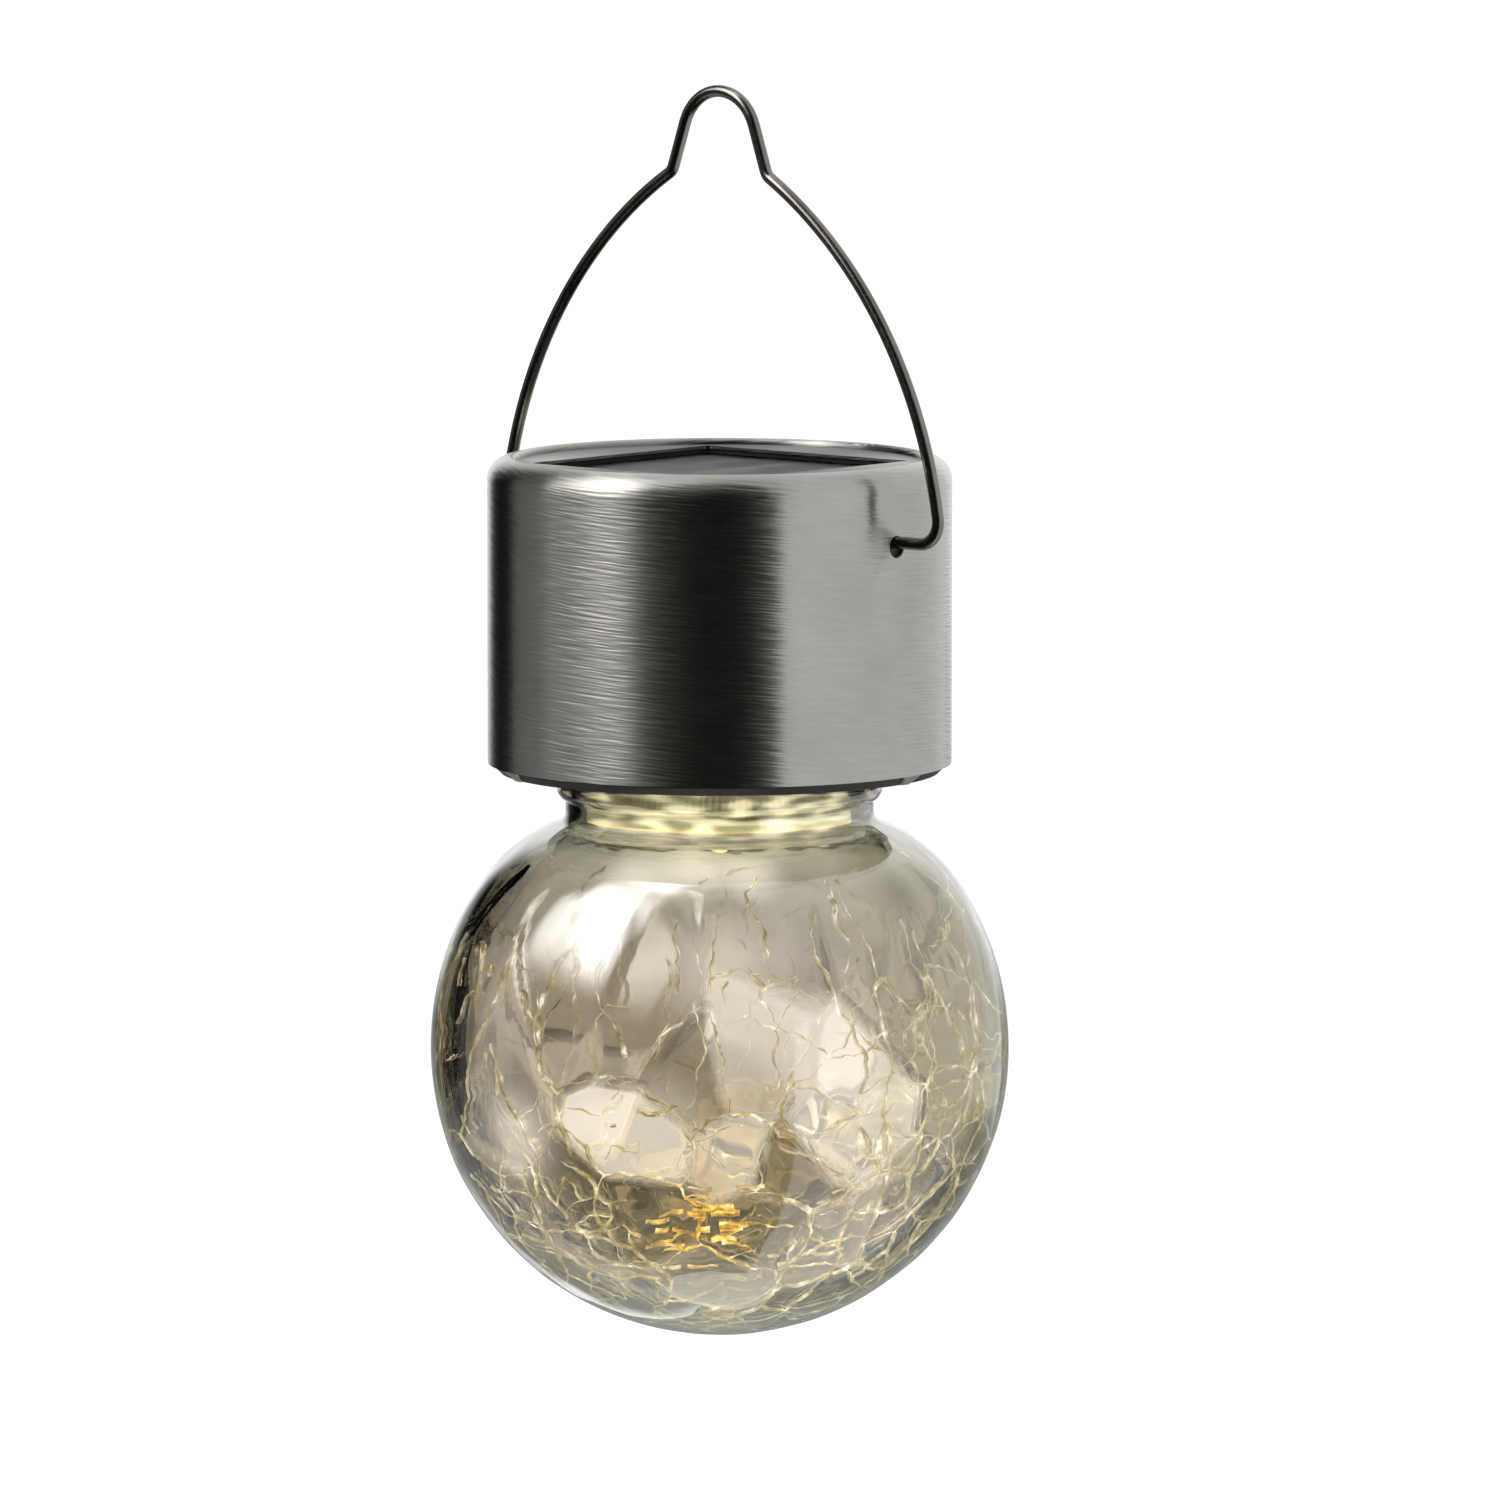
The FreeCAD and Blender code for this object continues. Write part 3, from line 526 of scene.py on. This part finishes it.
def outer_step(direction):
    """Slow ripples of the blown outside, stretched up and down; never outwards."""
    across = Vector((direction.x * 9, direction.y * 9, direction.z * 2.6))
    return -ripple_depth * (0.5 + 0.5 * noise.noise(across))


def neck_step(point):
    """Waves of the hand-worked neck and lip; never outwards."""
    return -neck_ripple * (0.5 + 0.5 * noise.noise(point * neck_ripple_scale))


inner = wall_outline(glass_wall, 130)
outer = wall_outline(0.0, 84)
bore = neck_r - glass_wall
lip_low = lip_top - lip_height
bead_half = lip_height / 2
bead_bulge = lip_r - neck_r
bead_r = (bead_half ** 2 + bead_bulge ** 2) / (2 * bead_bulge)
bead_angle = math.asin(bead_half / bead_r)
bead = arc_points((lip_r - bead_r, lip_top - bead_half), bead_r, bead_angle, -bead_angle, 12)
mouth = arc_points((bore + mouth_round, lip_top - mouth_round), mouth_round, math.pi, math.pi / 2, 4)
neck_foot = outer[-1][1]
neck = [(neck_r, lip_low + (neck_foot - lip_low) * i / neck_rows) for i in range(1, neck_rows)]
outline = inner[1:] + mouth + bead + neck + outer[:0:-1]

glass_mesh = bmesh.new()
glare_layer = glass_mesh.verts.layers.float.new("glare")
inside_count = len(inner) - 1
rings = []
for index, (r, z) in enumerate(outline):
    ring = []
    for k in range(globe_segments):
        a = 2 * math.pi * k / globe_segments
        point = Vector((r * math.cos(a), r * math.sin(a), z))
        away = point - Vector((0, 0, globe_z))
        direction = away.normalized()
        painted_glare = 0.0
        if index < inside_count:
            step, painted_glare = inner_wall(direction)
            point += direction * step
        elif index >= inside_count + len(mouth):
            outwards = Vector((math.cos(a), math.sin(a), 0))
            high = smooth(direction.z, 0.6, 0.8)
            # Painted glints and shade on the outer neck: flat glowing sparkles, shaded sides, and a painted
            # shadow under the bead.
            flat_spot = Vector((point.x, point.y, point.z * neck_glint_flat)) * neck_glint_scale
            glint_noise = noise.noise(flat_spot)
            sideways = smooth(abs(outwards.dot(view_right)), 0.55, 0.90)
            painted_glare = neck_painted_light + smooth(glint_noise, -0.05, 0.40) - smooth(-glint_noise, 0.0, 0.35)
            painted_glare -= neck_painted_side_shade * sideways
            painted_glare -= bead_shade_dark * (1 - smooth(abs(z - lip_low + bead_shade), 0.0, bead_shade))
            painted_glare *= neck_glints * smooth(direction.z, 0.80, 0.845)
            point += direction * outer_step(direction) * (1 - high) + outwards * neck_step(point) * high
        vert = glass_mesh.verts.new(point)
        vert[glare_layer] = painted_glare
        ring.append(vert)
    rings.append(ring)
inner_pole = glass_mesh.verts.new((0, 0, inner[0][1]))
outer_pole = glass_mesh.verts.new((0, 0, outer[0][1]))
for low, high in zip(rings, rings[1:]):
    for k in range(globe_segments):
        n = (k + 1) % globe_segments
        glass_mesh.faces.new((low[k], high[k], high[n], low[n]))
for k in range(globe_segments):
    n = (k + 1) % globe_segments
    glass_mesh.faces.new((inner_pole, rings[0][k], rings[0][n]))
    glass_mesh.faces.new((outer_pole, rings[-1][n], rings[-1][k]))
bmesh.ops.recalc_face_normals(glass_mesh, faces=glass_mesh.faces)
for face in glass_mesh.faces:
    face.smooth = True


def solid_from(mesh, name, material):
    """New object at the origin from a bmesh, in one finish."""
    data = bpy.data.meshes.new(name)
    mesh.to_mesh(data)
    mesh.free()
    data.materials.append(material)
    made = bpy.data.objects.new(name, data)
    bpy.context.scene.collection.objects.link(made)
    return made


def blend(material, factor, first, second):
    """Colour that runs from first to second with the factor; second may be a plain colour."""
    made = add_node(material, "Mix", data_type="RGBA")
    factor_in, first_in, second_in = (made.inputs[i] for i in (0, 6, 7))
    link(material, factor, factor_in)
    link(material, first, first_in)
    if isinstance(second, tuple):
        second_in.default_value = (*second, 1)
    else:
        link(material, second, second_in)
    return made.outputs[2]


tint_wander = 0.06
olive_start = globe_r * 0.40
olive_full = globe_r * 0.80
shoulder_start = 0.70
shoulder_full = 0.84
glare_glow = 0.60

lustre = finish("champagne_lustre_glass", Roughness=0.0, IOR=1.5, Transmission_Weight=1.0,
                Coat_Weight=1.0, Coat_IOR=1.9, Coat_Roughness=0.02)
on_glass = add_node(lustre, "SeparateXYZ")
link(lustre, place(lustre), on_glass.inputs["Vector"])
glass_level = spread(lustre, on_glass.outputs["Z"], 0.0, 1.0, globe_z - globe_r, lip_top)
# Painted lamplight: the glow is white on the ball and warm gold at the neck.
link(lustre, ramp(lustre, glass_level, [(0.84, (1.0, 0.96, 0.93)), (0.92, (1.0, 0.86, 0.52))]),
     shader_of(lustre).inputs["Emission Color"])
shift = add_node(lustre, "Math", {1: tint_wander, 2: -tint_wander / 2}, operation="MULTIPLY_ADD")
link(lustre, grain(lustre, place(lustre), 0.03, 2.0), shift.inputs[0])
tint_level = add_node(lustre, "Math", operation="ADD")
link(lustre, glass_level, tint_level.inputs[0])
link(lustre, shift.outputs["Value"], tint_level.inputs[1])
tint = ramp(lustre, tint_level.outputs["Value"], [
    (0.00, (0.30, 0.31, 0.18)),
    (0.12, (0.36, 0.35, 0.20)),
    (0.22, (0.60, 0.54, 0.41)),
    (0.55, (0.64, 0.58, 0.48)),
    (0.78, (0.64, 0.60, 0.53)),
    (0.87, (0.86, 0.83, 0.74)),
    (0.94, (0.90, 0.91, 0.77)),
    (1.00, (0.90, 0.92, 0.84))])
to_right = add_node(lustre, "VectorMath", {1: view_right}, operation="DOT_PRODUCT")
link(lustre, place(lustre), to_right.inputs[0])
# The glass turns olive towards the camera's right side.
right_share = spread(lustre, to_right.outputs["Value"], 0.0, 1.0, olive_start, olive_full)
olive_right = blend(lustre, right_share, tint, (0.61, 0.57, 0.41))
slant = add_node(lustre, "LayerWeight", {"Blend": 0.5})
rim_tint = ramp(lustre, slant.outputs["Facing"], [
    (0.52, (1.0, 1.0, 1.0)),
    (0.68, (0.78, 0.84, 0.64)),
    (0.82, (0.50, 0.58, 0.42)),
    (1.0, (0.25, 0.32, 0.22))])
on_shoulder = spread(lustre, glass_level, 0.0, 1.0, shoulder_start, shoulder_full)
rim_faded = blend(lustre, on_shoulder, rim_tint, (0.95, 0.96, 0.92))
rimmed = add_node(lustre, "VectorMath", operation="MULTIPLY")
link(lustre, olive_right, rimmed.inputs[0])
link(lustre, rim_faded, rimmed.inputs[1])
# Painted reflections: positive glare turns the glass pale and makes it glow, negative glare paints it dark.
glare_level = add_node(lustre, "Attribute", attribute_name="glare").outputs["Fac"]
painted_dark = spread(lustre, glare_level, 1.0, 0.0, -1.0, 0.0)
with_painted_dark = blend(lustre, painted_dark, rimmed.outputs["Vector"], (0.16, 0.14, 0.09))
with_painted_glare = blend(lustre, glare_level, with_painted_dark, (0.98, 0.96, 0.94))
link(lustre, with_painted_glare, shader_of(lustre).inputs["Base Color"])
link(lustre, spread(lustre, glare_level, 0.0, glare_glow), shader_of(lustre).inputs["Emission Strength"])

globe = solid_from(glass_mesh, "crackle_globe", lustre)
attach(globe, "globe")
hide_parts("glass_globe")


# Cracks: the web of fractures held inside the globe's wall.
# Air gaps in the glass that mirror the light, silvery, with a painted glow that is stronger low down
# and painted gold glints in a patch low on the near side.
# Made by quenching the hot ball, which splits the wall along its cells.
crack_depth = 0.0013
crack_open = 0.00007
crack_lean = 2.8
lean_scale = 110.0
crack_inset = 0.0001
crack_r = globe_r - glass_wall / 2 - crack_inset
crack_piece = 0.0007
crack_rough = 0.16
crack_top = 0.72
healed_share = 0.7
fine_count = 620
fine_share = 0.40
fine_right = 0.6
fine_low = 0.3

# The main cracks of the near side, seen from the front in globe radii: right, up.
long_cracks = (
    ((0.41, 0.60), (0.47, 0.44), (0.55, 0.14), (0.575, 0.03), (0.56, -0.21), (0.54, -0.37), (0.51, -0.55)),
    ((0.115, 0.47), (0.14, 0.18), (0.21, 0.08), (0.38, -0.02), (0.56, 0.06), (0.80, 0.16)),
    ((-0.01, 0.48), (-0.02, 0.36), (-0.03, 0.20)),
    ((-0.145, 0.45), (-0.14, 0.34), (-0.145, 0.20)),
    ((-0.35, 0.41), (-0.355, 0.14)),
    ((-0.43, 0.41), (-0.42, 0.20), (-0.32, -0.02)),
    ((-0.55, 0.32), (-0.62, 0.14), (-0.63, 0.02), (-0.62, -0.12), (-0.55, -0.23), (-0.51, -0.36)),
    ((-0.79, 0.02), (-0.71, -0.21), (-0.62, -0.41), (-0.52, -0.58)),
    ((-0.68, 0.43), (-0.73, 0.22), (-0.75, 0.14)),
    ((-0.82, 0.37), (-0.84, 0.14)),
    ((-0.83, -0.47), (-0.68, -0.59), (-0.52, -0.62), (-0.33, -0.60), (-0.27, -0.64)),
    ((-0.62, -0.68), (-0.48, -0.74), (-0.33, -0.79), (-0.20, -0.79)),
    ((0.62, 0.45), (0.66, 0.30), (0.74, 0.20), (0.70, 0.02), (0.78, -0.20), (0.70, -0.42)),
    ((0.76, 0.42), (0.86, 0.22), (0.88, 0.0), (0.84, -0.26)),
    ((0.20, -0.74), (0.40, -0.66), (0.58, -0.62), (0.70, -0.50)))

glint_right = -0.02
glint_up = -0.61
glint_light = 0.35
glint_reach = 0.34
glint_flat = 1.7
glint_clear = 0.26
glint_count = 34


def web_edges(points):
    """Borders between cells on the unit sphere: pairs of corners."""
    hull = bmesh.new()
    for point in points:
        hull.verts.new(point)
    bmesh.ops.convex_hull(hull, input=hull.verts)
    hull.normal_update()
    pairs = [tuple(face.normal.copy() for face in edge.link_faces)
             for edge in hull.edges if len(edge.link_faces) == 2]
    hull.free()
    return pairs


def jagged(draw, start, end):
    """Points from start to end on the unit sphere, broken as a fracture runs."""
    points = [start, end]
    rough = crack_rough
    while (points[0] - points[1]).length * globe_r > crack_piece:
        finer = [points[0]]
        for a, b in zip(points, points[1:]):
            middle = (a + b).normalized()
            sideways = middle.cross(b - a)
            finer.append((middle + sideways * draw.uniform(-rough, rough)).normalized())
            finer.append(b)
        points = finer
        rough *= 0.92
    return points


fracture = random.Random(5)
fine_seeds = scattered(fracture, fine_count)
fine = []
for a, b in web_edges(fine_seeds):
    middle = (a + b).normalized()
    if (middle - on_near_wall(glint_right, glint_up)).length < glint_clear:
        continue
    crowded = fine_share + fine_right * smooth(middle.dot(view_right), 0.40, 0.75)
    crowded += fine_low * smooth(-middle.z, 0.3, 0.8)
    if fracture.random() < crowded:
        fine.append((a, b))
web_pairs = [(from_cells(a), from_cells(b)) for a, b in web_edges(seeds) + fine]

long_pairs = []
for bends in long_cracks:
    stops = [on_near_wall(right, up) for right, up in bends]
    long_pairs += list(zip(stops, stops[1:]))

glint_pairs = []
for _ in range(glint_count):
    right = glint_right + fracture.gauss(0, 0.15)
    up = glint_up + fracture.gauss(0, 0.075)
    half = fracture.uniform(0.015, 0.06)
    turn = fracture.gauss(0, 0.15)
    across, rise = half * math.cos(turn), half * math.sin(turn)
    glint_pairs.append((on_near_wall(right - across, up - rise), on_near_wall(right + across, up + rise)))

crack_lines = bmesh.new()
for pairs, always_shown in ((web_pairs, False), (long_pairs, True), (glint_pairs, False)):
    for start, end in pairs:
        top = max(start.z, end.z)
        if top > crack_top:
            continue
        healed = fracture.random() < smooth(top, 0.30, 0.75) * healed_share
        if healed and not always_shown:
            continue
        last = None
        for direction in jagged(fracture, start, end):
            vert = crack_lines.verts.new(Vector((0, 0, globe_z)) + direction * crack_r)
            if last:
                crack_lines.edges.new((last, vert))
            last = vert

silver = finish("crack_mirror", Metallic=1.0)
flecks = grain(silver, place(silver), 0.004, 3.0)
link(silver, ramp(silver, flecks, [(0.35, (0.60, 0.56, 0.44)), (0.65, (0.80, 0.72, 0.50))]),
     shader_of(silver).inputs["Base Color"])
link(silver, spread(silver, flecks, 0.10, 0.25), shader_of(silver).inputs["Roughness"])
# Painted glints: pale glowing flecks along the cracks, turning gold in the patch low on the near side.
sparks = grain(silver, place(silver), 0.0028, 3.0, 0.6)
painted_pale_glints = ramp(silver, sparks, [
    (0.30, (0.22, 0.18, 0.07)),
    (0.47, (0.62, 0.54, 0.30)),
    (0.58, (1.0, 0.94, 0.76)),
    (0.70, (2.4, 2.3, 2.0))])
painted_gold_glints = ramp(silver, sparks, [
    (0.34, (0.20, 0.11, 0.02)),
    (0.50, (0.70, 0.42, 0.06)),
    (0.60, (1.5, 1.0, 0.25)),
    (0.70, (3.0, 2.5, 1.4))])
glint_spot = Vector((0, 0, globe_z)) + on_near_wall(glint_right, glint_up) * crack_r
glint_spot.z *= glint_flat
from_glint = add_node(silver, "VectorMath", {1: glint_spot}, operation="DISTANCE")
link(silver, place(silver, (1, 1, glint_flat)), from_glint.inputs[0])
glint_end = glint_reach * globe_r
painted_gold_share = spread(silver, from_glint.outputs["Value"], 1.0, 0.0, glint_end / 2, glint_end)
link(silver, blend(silver, painted_gold_share, painted_pale_glints, painted_gold_glints), shader_of(silver).inputs["Emission Color"])
on_crack = add_node(silver, "SeparateXYZ")
link(silver, place(silver), on_crack.inputs["Vector"])
painted_lamplight = spread(silver, on_crack.outputs["Z"], 0.85, 0.50, globe_z - globe_r, globe_z)
painted_crack_glow = add_node(silver, "Math", {1: glint_light}, operation="MULTIPLY_ADD")
link(silver, painted_gold_share, painted_crack_glow.inputs[0])
link(silver, painted_lamplight, painted_crack_glow.inputs[2])
link(silver, painted_crack_glow.outputs["Value"], shader_of(silver).inputs["Emission Strength"])

cracks = solid_from(crack_lines, "globe_cracks", silver)

tree = bpy.data.node_groups.new("crack_ribbons", "GeometryNodeTree")
ribbon_sizes = {"Crack depth": crack_depth, "Crack opening": crack_open, "Lean": crack_lean}
tree.interface.new_socket("Geometry", in_out="INPUT", socket_type="NodeSocketGeometry")
tree.interface.new_socket("Geometry", in_out="OUTPUT", socket_type="NodeSocketGeometry")
ribbon_inputs = {name: tree.interface.new_socket(name, in_out="INPUT", socket_type="NodeSocketFloat")
                 for name in ribbon_sizes}


def tree_node(kind, values=None, **settings):
    """New node of the ribbon tree."""
    made = tree.nodes.new(kind)
    for setting, value in settings.items():
        setattr(made, setting, value)
    for socket, value in (values or {}).items():
        made.inputs[socket].default_value = value
    return made


def join(source, target):
    """Joins an output to an input of the ribbon tree."""
    tree.links.new(source, target)


given = tree_node("NodeGroupInput")
result = tree_node("NodeGroupOutput")
curve = tree_node("GeometryNodeMeshToCurve")
place_here = tree_node("GeometryNodeInputPosition")
outwards = tree_node("ShaderNodeVectorMath", {1: (0, 0, globe_z)}, operation="SUBTRACT")
facing = tree_node("GeometryNodeSetCurveNormal", mode="FREE")
leaning = tree_node("GeometryNodeSetCurveTilt")
wander = tree_node("ShaderNodeTexNoise", {"Scale": lean_scale, "Detail": 1.0})
centred = tree_node("ShaderNodeMath", {1: 0.5}, operation="SUBTRACT")
lean = tree_node("ShaderNodeMath", operation="MULTIPLY")
ribbon = tree_node("GeometryNodeCurvePrimitiveQuadrilateral")
swept = tree_node("GeometryNodeCurveToMesh", {"Fill Caps": True})
whole = tree_node("GeometryNodeRealizeInstances")
coated = tree_node("GeometryNodeSetMaterial", {"Material": silver})
join(given.outputs["Geometry"], curve.inputs["Mesh"])
join(place_here.outputs["Position"], outwards.inputs[0])
join(curve.outputs["Curve"], facing.inputs["Curve"])
join(outwards.outputs["Vector"], facing.inputs["Normal"])
join(facing.outputs["Curve"], leaning.inputs["Curve"])
join(wander.outputs[0], centred.inputs[0])
join(centred.outputs["Value"], lean.inputs[0])
join(given.outputs["Lean"], lean.inputs[1])
join(lean.outputs["Value"], leaning.inputs["Tilt"])
join(given.outputs["Crack depth"], ribbon.inputs["Width"])
join(given.outputs["Crack opening"], ribbon.inputs["Height"])
join(leaning.outputs["Curve"], swept.inputs["Curve"])
join(ribbon.outputs["Curve"], swept.inputs["Profile Curve"])
join(swept.outputs["Mesh"], whole.inputs["Geometry"])
join(whole.outputs["Geometry"], coated.inputs["Geometry"])
join(coated.outputs["Geometry"], result.inputs["Geometry"])

ribbons = cracks.modifiers.new("ribbons", "NODES")
ribbons.node_group = tree
for name, value in ribbon_sizes.items():
    ribbons[ribbon_inputs[name].identifier] = value
bpy.context.view_layer.update()
swept_cracks = cracks.evaluated_get(bpy.context.evaluated_depsgraph_get())
plain_mesh = bpy.data.meshes.new_from_object(swept_cracks)
cracks.modifiers.remove(ribbons)
cracks.data = plain_mesh
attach(cracks, "globe")


# Bail: one length of wire bent to a loop, two kinks, two bowed legs and two pegs.
# Bright drawn steel wire, darkened, with fine drawing marks.
# Sprung apart so that its pegs snap into the cap's holes and the holder's bosses.
die_depth = 0.000004
drawn = finish("drawn_wire", Metallic=1.0)
die_marks = grain(drawn, place(drawn), 0.0007, 4.0)
tarnish = grain(drawn, place(drawn), 0.014, 3.0)
link(drawn, ramp(drawn, tarnish, [(0.3, (0.20, 0.185, 0.165)), (0.7, (0.31, 0.29, 0.265))]),
     shader_of(drawn).inputs["Base Color"])
link(drawn, spread(drawn, die_marks, 0.16, 0.32), shader_of(drawn).inputs["Roughness"])
emboss(drawn, die_marks, die_depth)
wear("bail_handle", drawn)


# Floor: a plain sheet of pale paper below the lantern.
# It takes the light as paper does, and is white to the eye and in reflections.
floor_z = -0.30
floor_half = 8.0
floor_seen = 0.42
square = ((-1, -1), (1, -1), (1, 1), (-1, 1))


def seen_rays(material):
    """1 for what the eye sees directly, in a mirror or through glass, and 0 for light on things."""
    path = add_node(material, "LightPath")
    total = path.outputs["Is Camera Ray"]
    for ray in ("Is Glossy Ray", "Is Transmission Ray"):
        made = add_node(material, "Math", operation="ADD")
        link(material, total, made.inputs[0])
        link(material, path.outputs[ray], made.inputs[1])
        total = made.outputs["Value"]
    return total


paper = finish("floor_paper", Base_Color=(0.86, 0.86, 0.86, 1), Roughness=0.9, Emission_Color=(1, 1, 1, 1))
link(paper, spread(paper, seen_rays(paper), 0.0, floor_seen), shader_of(paper).inputs["Emission Strength"])
sheet = bmesh.new()
sheet.faces.new([sheet.verts.new((x * floor_half, y * floor_half, floor_z)) for x, y in square])
floor = solid_from(sheet, "floor", paper)


# Studio: a white surround, a screen of cards right round the lantern, and one soft key light.
# Dark cards in front, a window card at the left, open white at the right, and grey cards
# behind that draw the outline of the glass. Only reflections and refractions see the screen.
surround_light = 0.7
studio_r = 0.95
screen_foot = 0.03
screen_high = 0.60
screen_dome = 0.75
screen_start = -164.0
screen_end = 196.0
screen_steps = 360
foot_rings = 16
wall_rings = 20
dome_end = 89
dome_step = 4
card_lift = 0.004

# Light of each card, and where it lies: degrees right of the camera, above the globe, or off the view.
dark_card = 0.006
grey_card = 0.16
grey_across = (-128, -118, -90, -84)
window_card = 3.4
window_across = (-106, -94, -52, -46)
window_up = (20, 36, 54, 68)
side_card = 0.74
side_start, side_full = 28, 31
side_blur = 14
foot_card = 0.25
foot_left_card = 0.30
edge_card = 0.30
edge_ring = (9, 14, 26, 34)
top_card = 3.2
top_across = (-104, -92, -56, -40)
overhead_card = 0.5

world = bpy.data.worlds.new("white_surround")
bpy.context.scene.world = world
world.use_nodes = True
background = world.node_tree.nodes["Background"]
background.inputs["Color"].default_value = (1, 1, 1, 1)
link(world, spread(world, seen_rays(world), surround_light, 1.0), background.inputs["Strength"])


def aside(angle, distance, z):
    """Point at an angle to the right of the camera's side, in degrees."""
    a = view_turn + math.radians(angle)
    return Vector((math.sin(a) * distance, -math.cos(a) * distance, z))


def band(value, start, full, fade, end):
    """1 from full to fade, smoothly down to 0 at start and end."""
    return smooth(value, start, full) * (1 - smooth(value, fade, end))


def card_light(angle, distance, z):
    """Light of the screen at an angle to the right of the camera's side, a distance out and a height."""
    height = math.degrees(math.atan2(z - globe_z, distance))
    grey = grey_card * band(angle, *grey_across)
    window = window_card * band(angle, *window_across) * band(height, *window_up)
    blur = side_blur * smooth(height, 8, 30)
    open_side = side_card * smooth(angle, side_start - blur, side_full + blur)
    open_side += 1 - smooth(angle, screen_start, screen_start + 16)
    open_side += (1 - side_card) * smooth(angle, 135, 160)
    foot = foot_card * (1 - smooth(distance, 0.04, 0.18))
    foot += foot_left_card * (1 - smooth(angle, -84, -60)) * (1 - smooth(height, -24, -9))
    to_card = (aside(angle, distance, z) - Vector((0, 0, globe_z))).normalized()
    ahead = -view_level * math.cos(view_rise) - Vector((0, 0, math.sin(view_rise)))
    off_view = math.degrees(to_card.angle(ahead))
    over = smooth(to_card.z + math.sin(view_rise), 0.02, 0.12)
    behind = band(off_view, *edge_ring) * (1 - over)
    below = smooth(angle, 100, 130) * (1 - smooth(distance, 0.40, 0.60)) * (1 - smooth(z, -0.29, -0.27))
    edge = (1 - edge_card) * max(behind, below)
    top = top_card * smooth(height, 62, 70) * band(angle, *top_across)
    top = max(top, overhead_card * smooth(height, 75, 81) * (1 - smooth(angle, 10, 40)))
    return dark_card + grey + window + open_side * (1 - edge) + foot + top


screen_mesh = bmesh.new()
light_layer = screen_mesh.verts.layers.float_color.new("card_light")
card_foot = floor_z + card_lift
profile = [(screen_foot + (studio_r - screen_foot) * (i / foot_rings) ** 2, card_foot)
           for i in range(foot_rings)]
profile += [(studio_r, card_foot + (screen_high - card_foot) * i / wall_rings) for i in range(wall_rings)]
profile += [(studio_r * math.cos(math.radians(a)), screen_high + screen_dome * math.sin(math.radians(a)))
            for a in range(0, dome_end, dome_step)]
column = None
for i in range(screen_steps + 1):
    angle = screen_start + (screen_end - screen_start) * i / screen_steps
    line = []
    for distance, z in profile:
        vert = screen_mesh.verts.new(aside(angle, distance, z))
        lit = card_light(angle, distance, z)
        vert[light_layer] = (lit, lit, lit, 1)
        line.append(vert)
    if column:
        for k in range(len(profile) - 1):
            screen_mesh.faces.new((column[k], column[k + 1], line[k + 1], line[k]))
    column = line
card = bpy.data.materials.new("card_screen")
card.use_nodes = True
card.node_tree.nodes.clear()
lit_card = add_node(card, "Emission")
stored = add_node(card, "Attribute", attribute_name="card_light")
out = add_node(card, "OutputMaterial")
link(card, stored.outputs["Color"], lit_card.inputs["Color"])
link(card, lit_card.outputs["Emission"], out.inputs["Surface"])
screen = solid_from(screen_mesh, "card_screen", card)
screen.visible_camera = False
screen.visible_shadow = False
screen.visible_diffuse = False

key_distance = 1.0
key_half = 0.44
key_narrow = 1.5
key_angle = -67.0
key_rise = math.radians(47)
key_power = 8.0
key_full = 0.7
key_high = globe_z + key_distance * math.sin(key_rise)
key_centre = aside(key_angle, key_distance * math.cos(key_rise), key_high)
back = (Vector((0, 0, globe_z)) - key_centre).normalized()
side = back.cross(Vector((0, 0, 1))).normalized()
upwards = side.cross(back)
box_mesh = bmesh.new()
box_uv = box_mesh.loops.layers.uv.new("box_uv")
box_corners = [box_mesh.verts.new(key_centre + (side * x + upwards * y) * key_half) for x, y in square]
box_face = box_mesh.faces.new(box_corners)
for loop, (x, y) in zip(box_face.loops, square):
    loop[box_uv].uv = (x * key_narrow, y)
silk = bpy.data.materials.new("softbox_silk")
silk.use_nodes = True
silk.node_tree.nodes.clear()
silk_uv = add_node(silk, "UVMap", uv_map="box_uv")
silk_fall = add_node(silk, "TexGradient", gradient_type="QUADRATIC_SPHERE")
silk_power = spread(silk, silk_fall.outputs["Fac"], 0.0, 1.0, 0.0, key_full)
silk_light = add_node(silk, "Emission", {"Strength": key_power})
silk_clear = add_node(silk, "BsdfTransparent")
silk_mix = add_node(silk, "MixShader")
silk_out = add_node(silk, "OutputMaterial")
link(silk, silk_uv.outputs["UV"], silk_fall.inputs["Vector"])
link(silk, silk_power, silk_mix.inputs["Fac"])
link(silk, silk_clear.outputs["BSDF"], silk_mix.inputs[1])
link(silk, silk_light.outputs["Emission"], silk_mix.inputs[2])
link(silk, silk_mix.outputs["Shader"], silk_out.inputs["Surface"])
softbox = solid_from(box_mesh, "key_softbox", silk)
softbox.visible_camera = False
softbox.visible_shadow = False


# Camera: on the photograph's side, a little above the lantern, with a long lens.
# Its scale and aim are the photograph's own.
photo_side = 1500
pixels_per_mm = 5.83
camera_distance = 2.0
aim_z = -0.112
aim_right = 0.0052
sensor_width = 36
clip_end = 50
eye = bpy.data.cameras.new("photo_camera")
eye.sensor_width = sensor_width
eye.lens = pixels_per_mm * camera_distance * 1000 / photo_side * sensor_width
eye.clip_end = clip_end
camera = bpy.data.objects.new("photo_camera", eye)
bpy.context.scene.collection.objects.link(camera)
aim = view_right * aim_right + Vector((0, 0, aim_z))
camera_out = camera_distance * math.cos(view_rise)
camera_up = camera_distance * math.sin(view_rise)
camera.location = aim + aside(0, camera_out, camera_up)
camera.rotation_euler = (aim - camera.location).to_track_quat("-Z", "Y").to_euler()
bpy.context.scene.camera = camera
bpy.context.scene.view_settings.view_transform = "Standard"
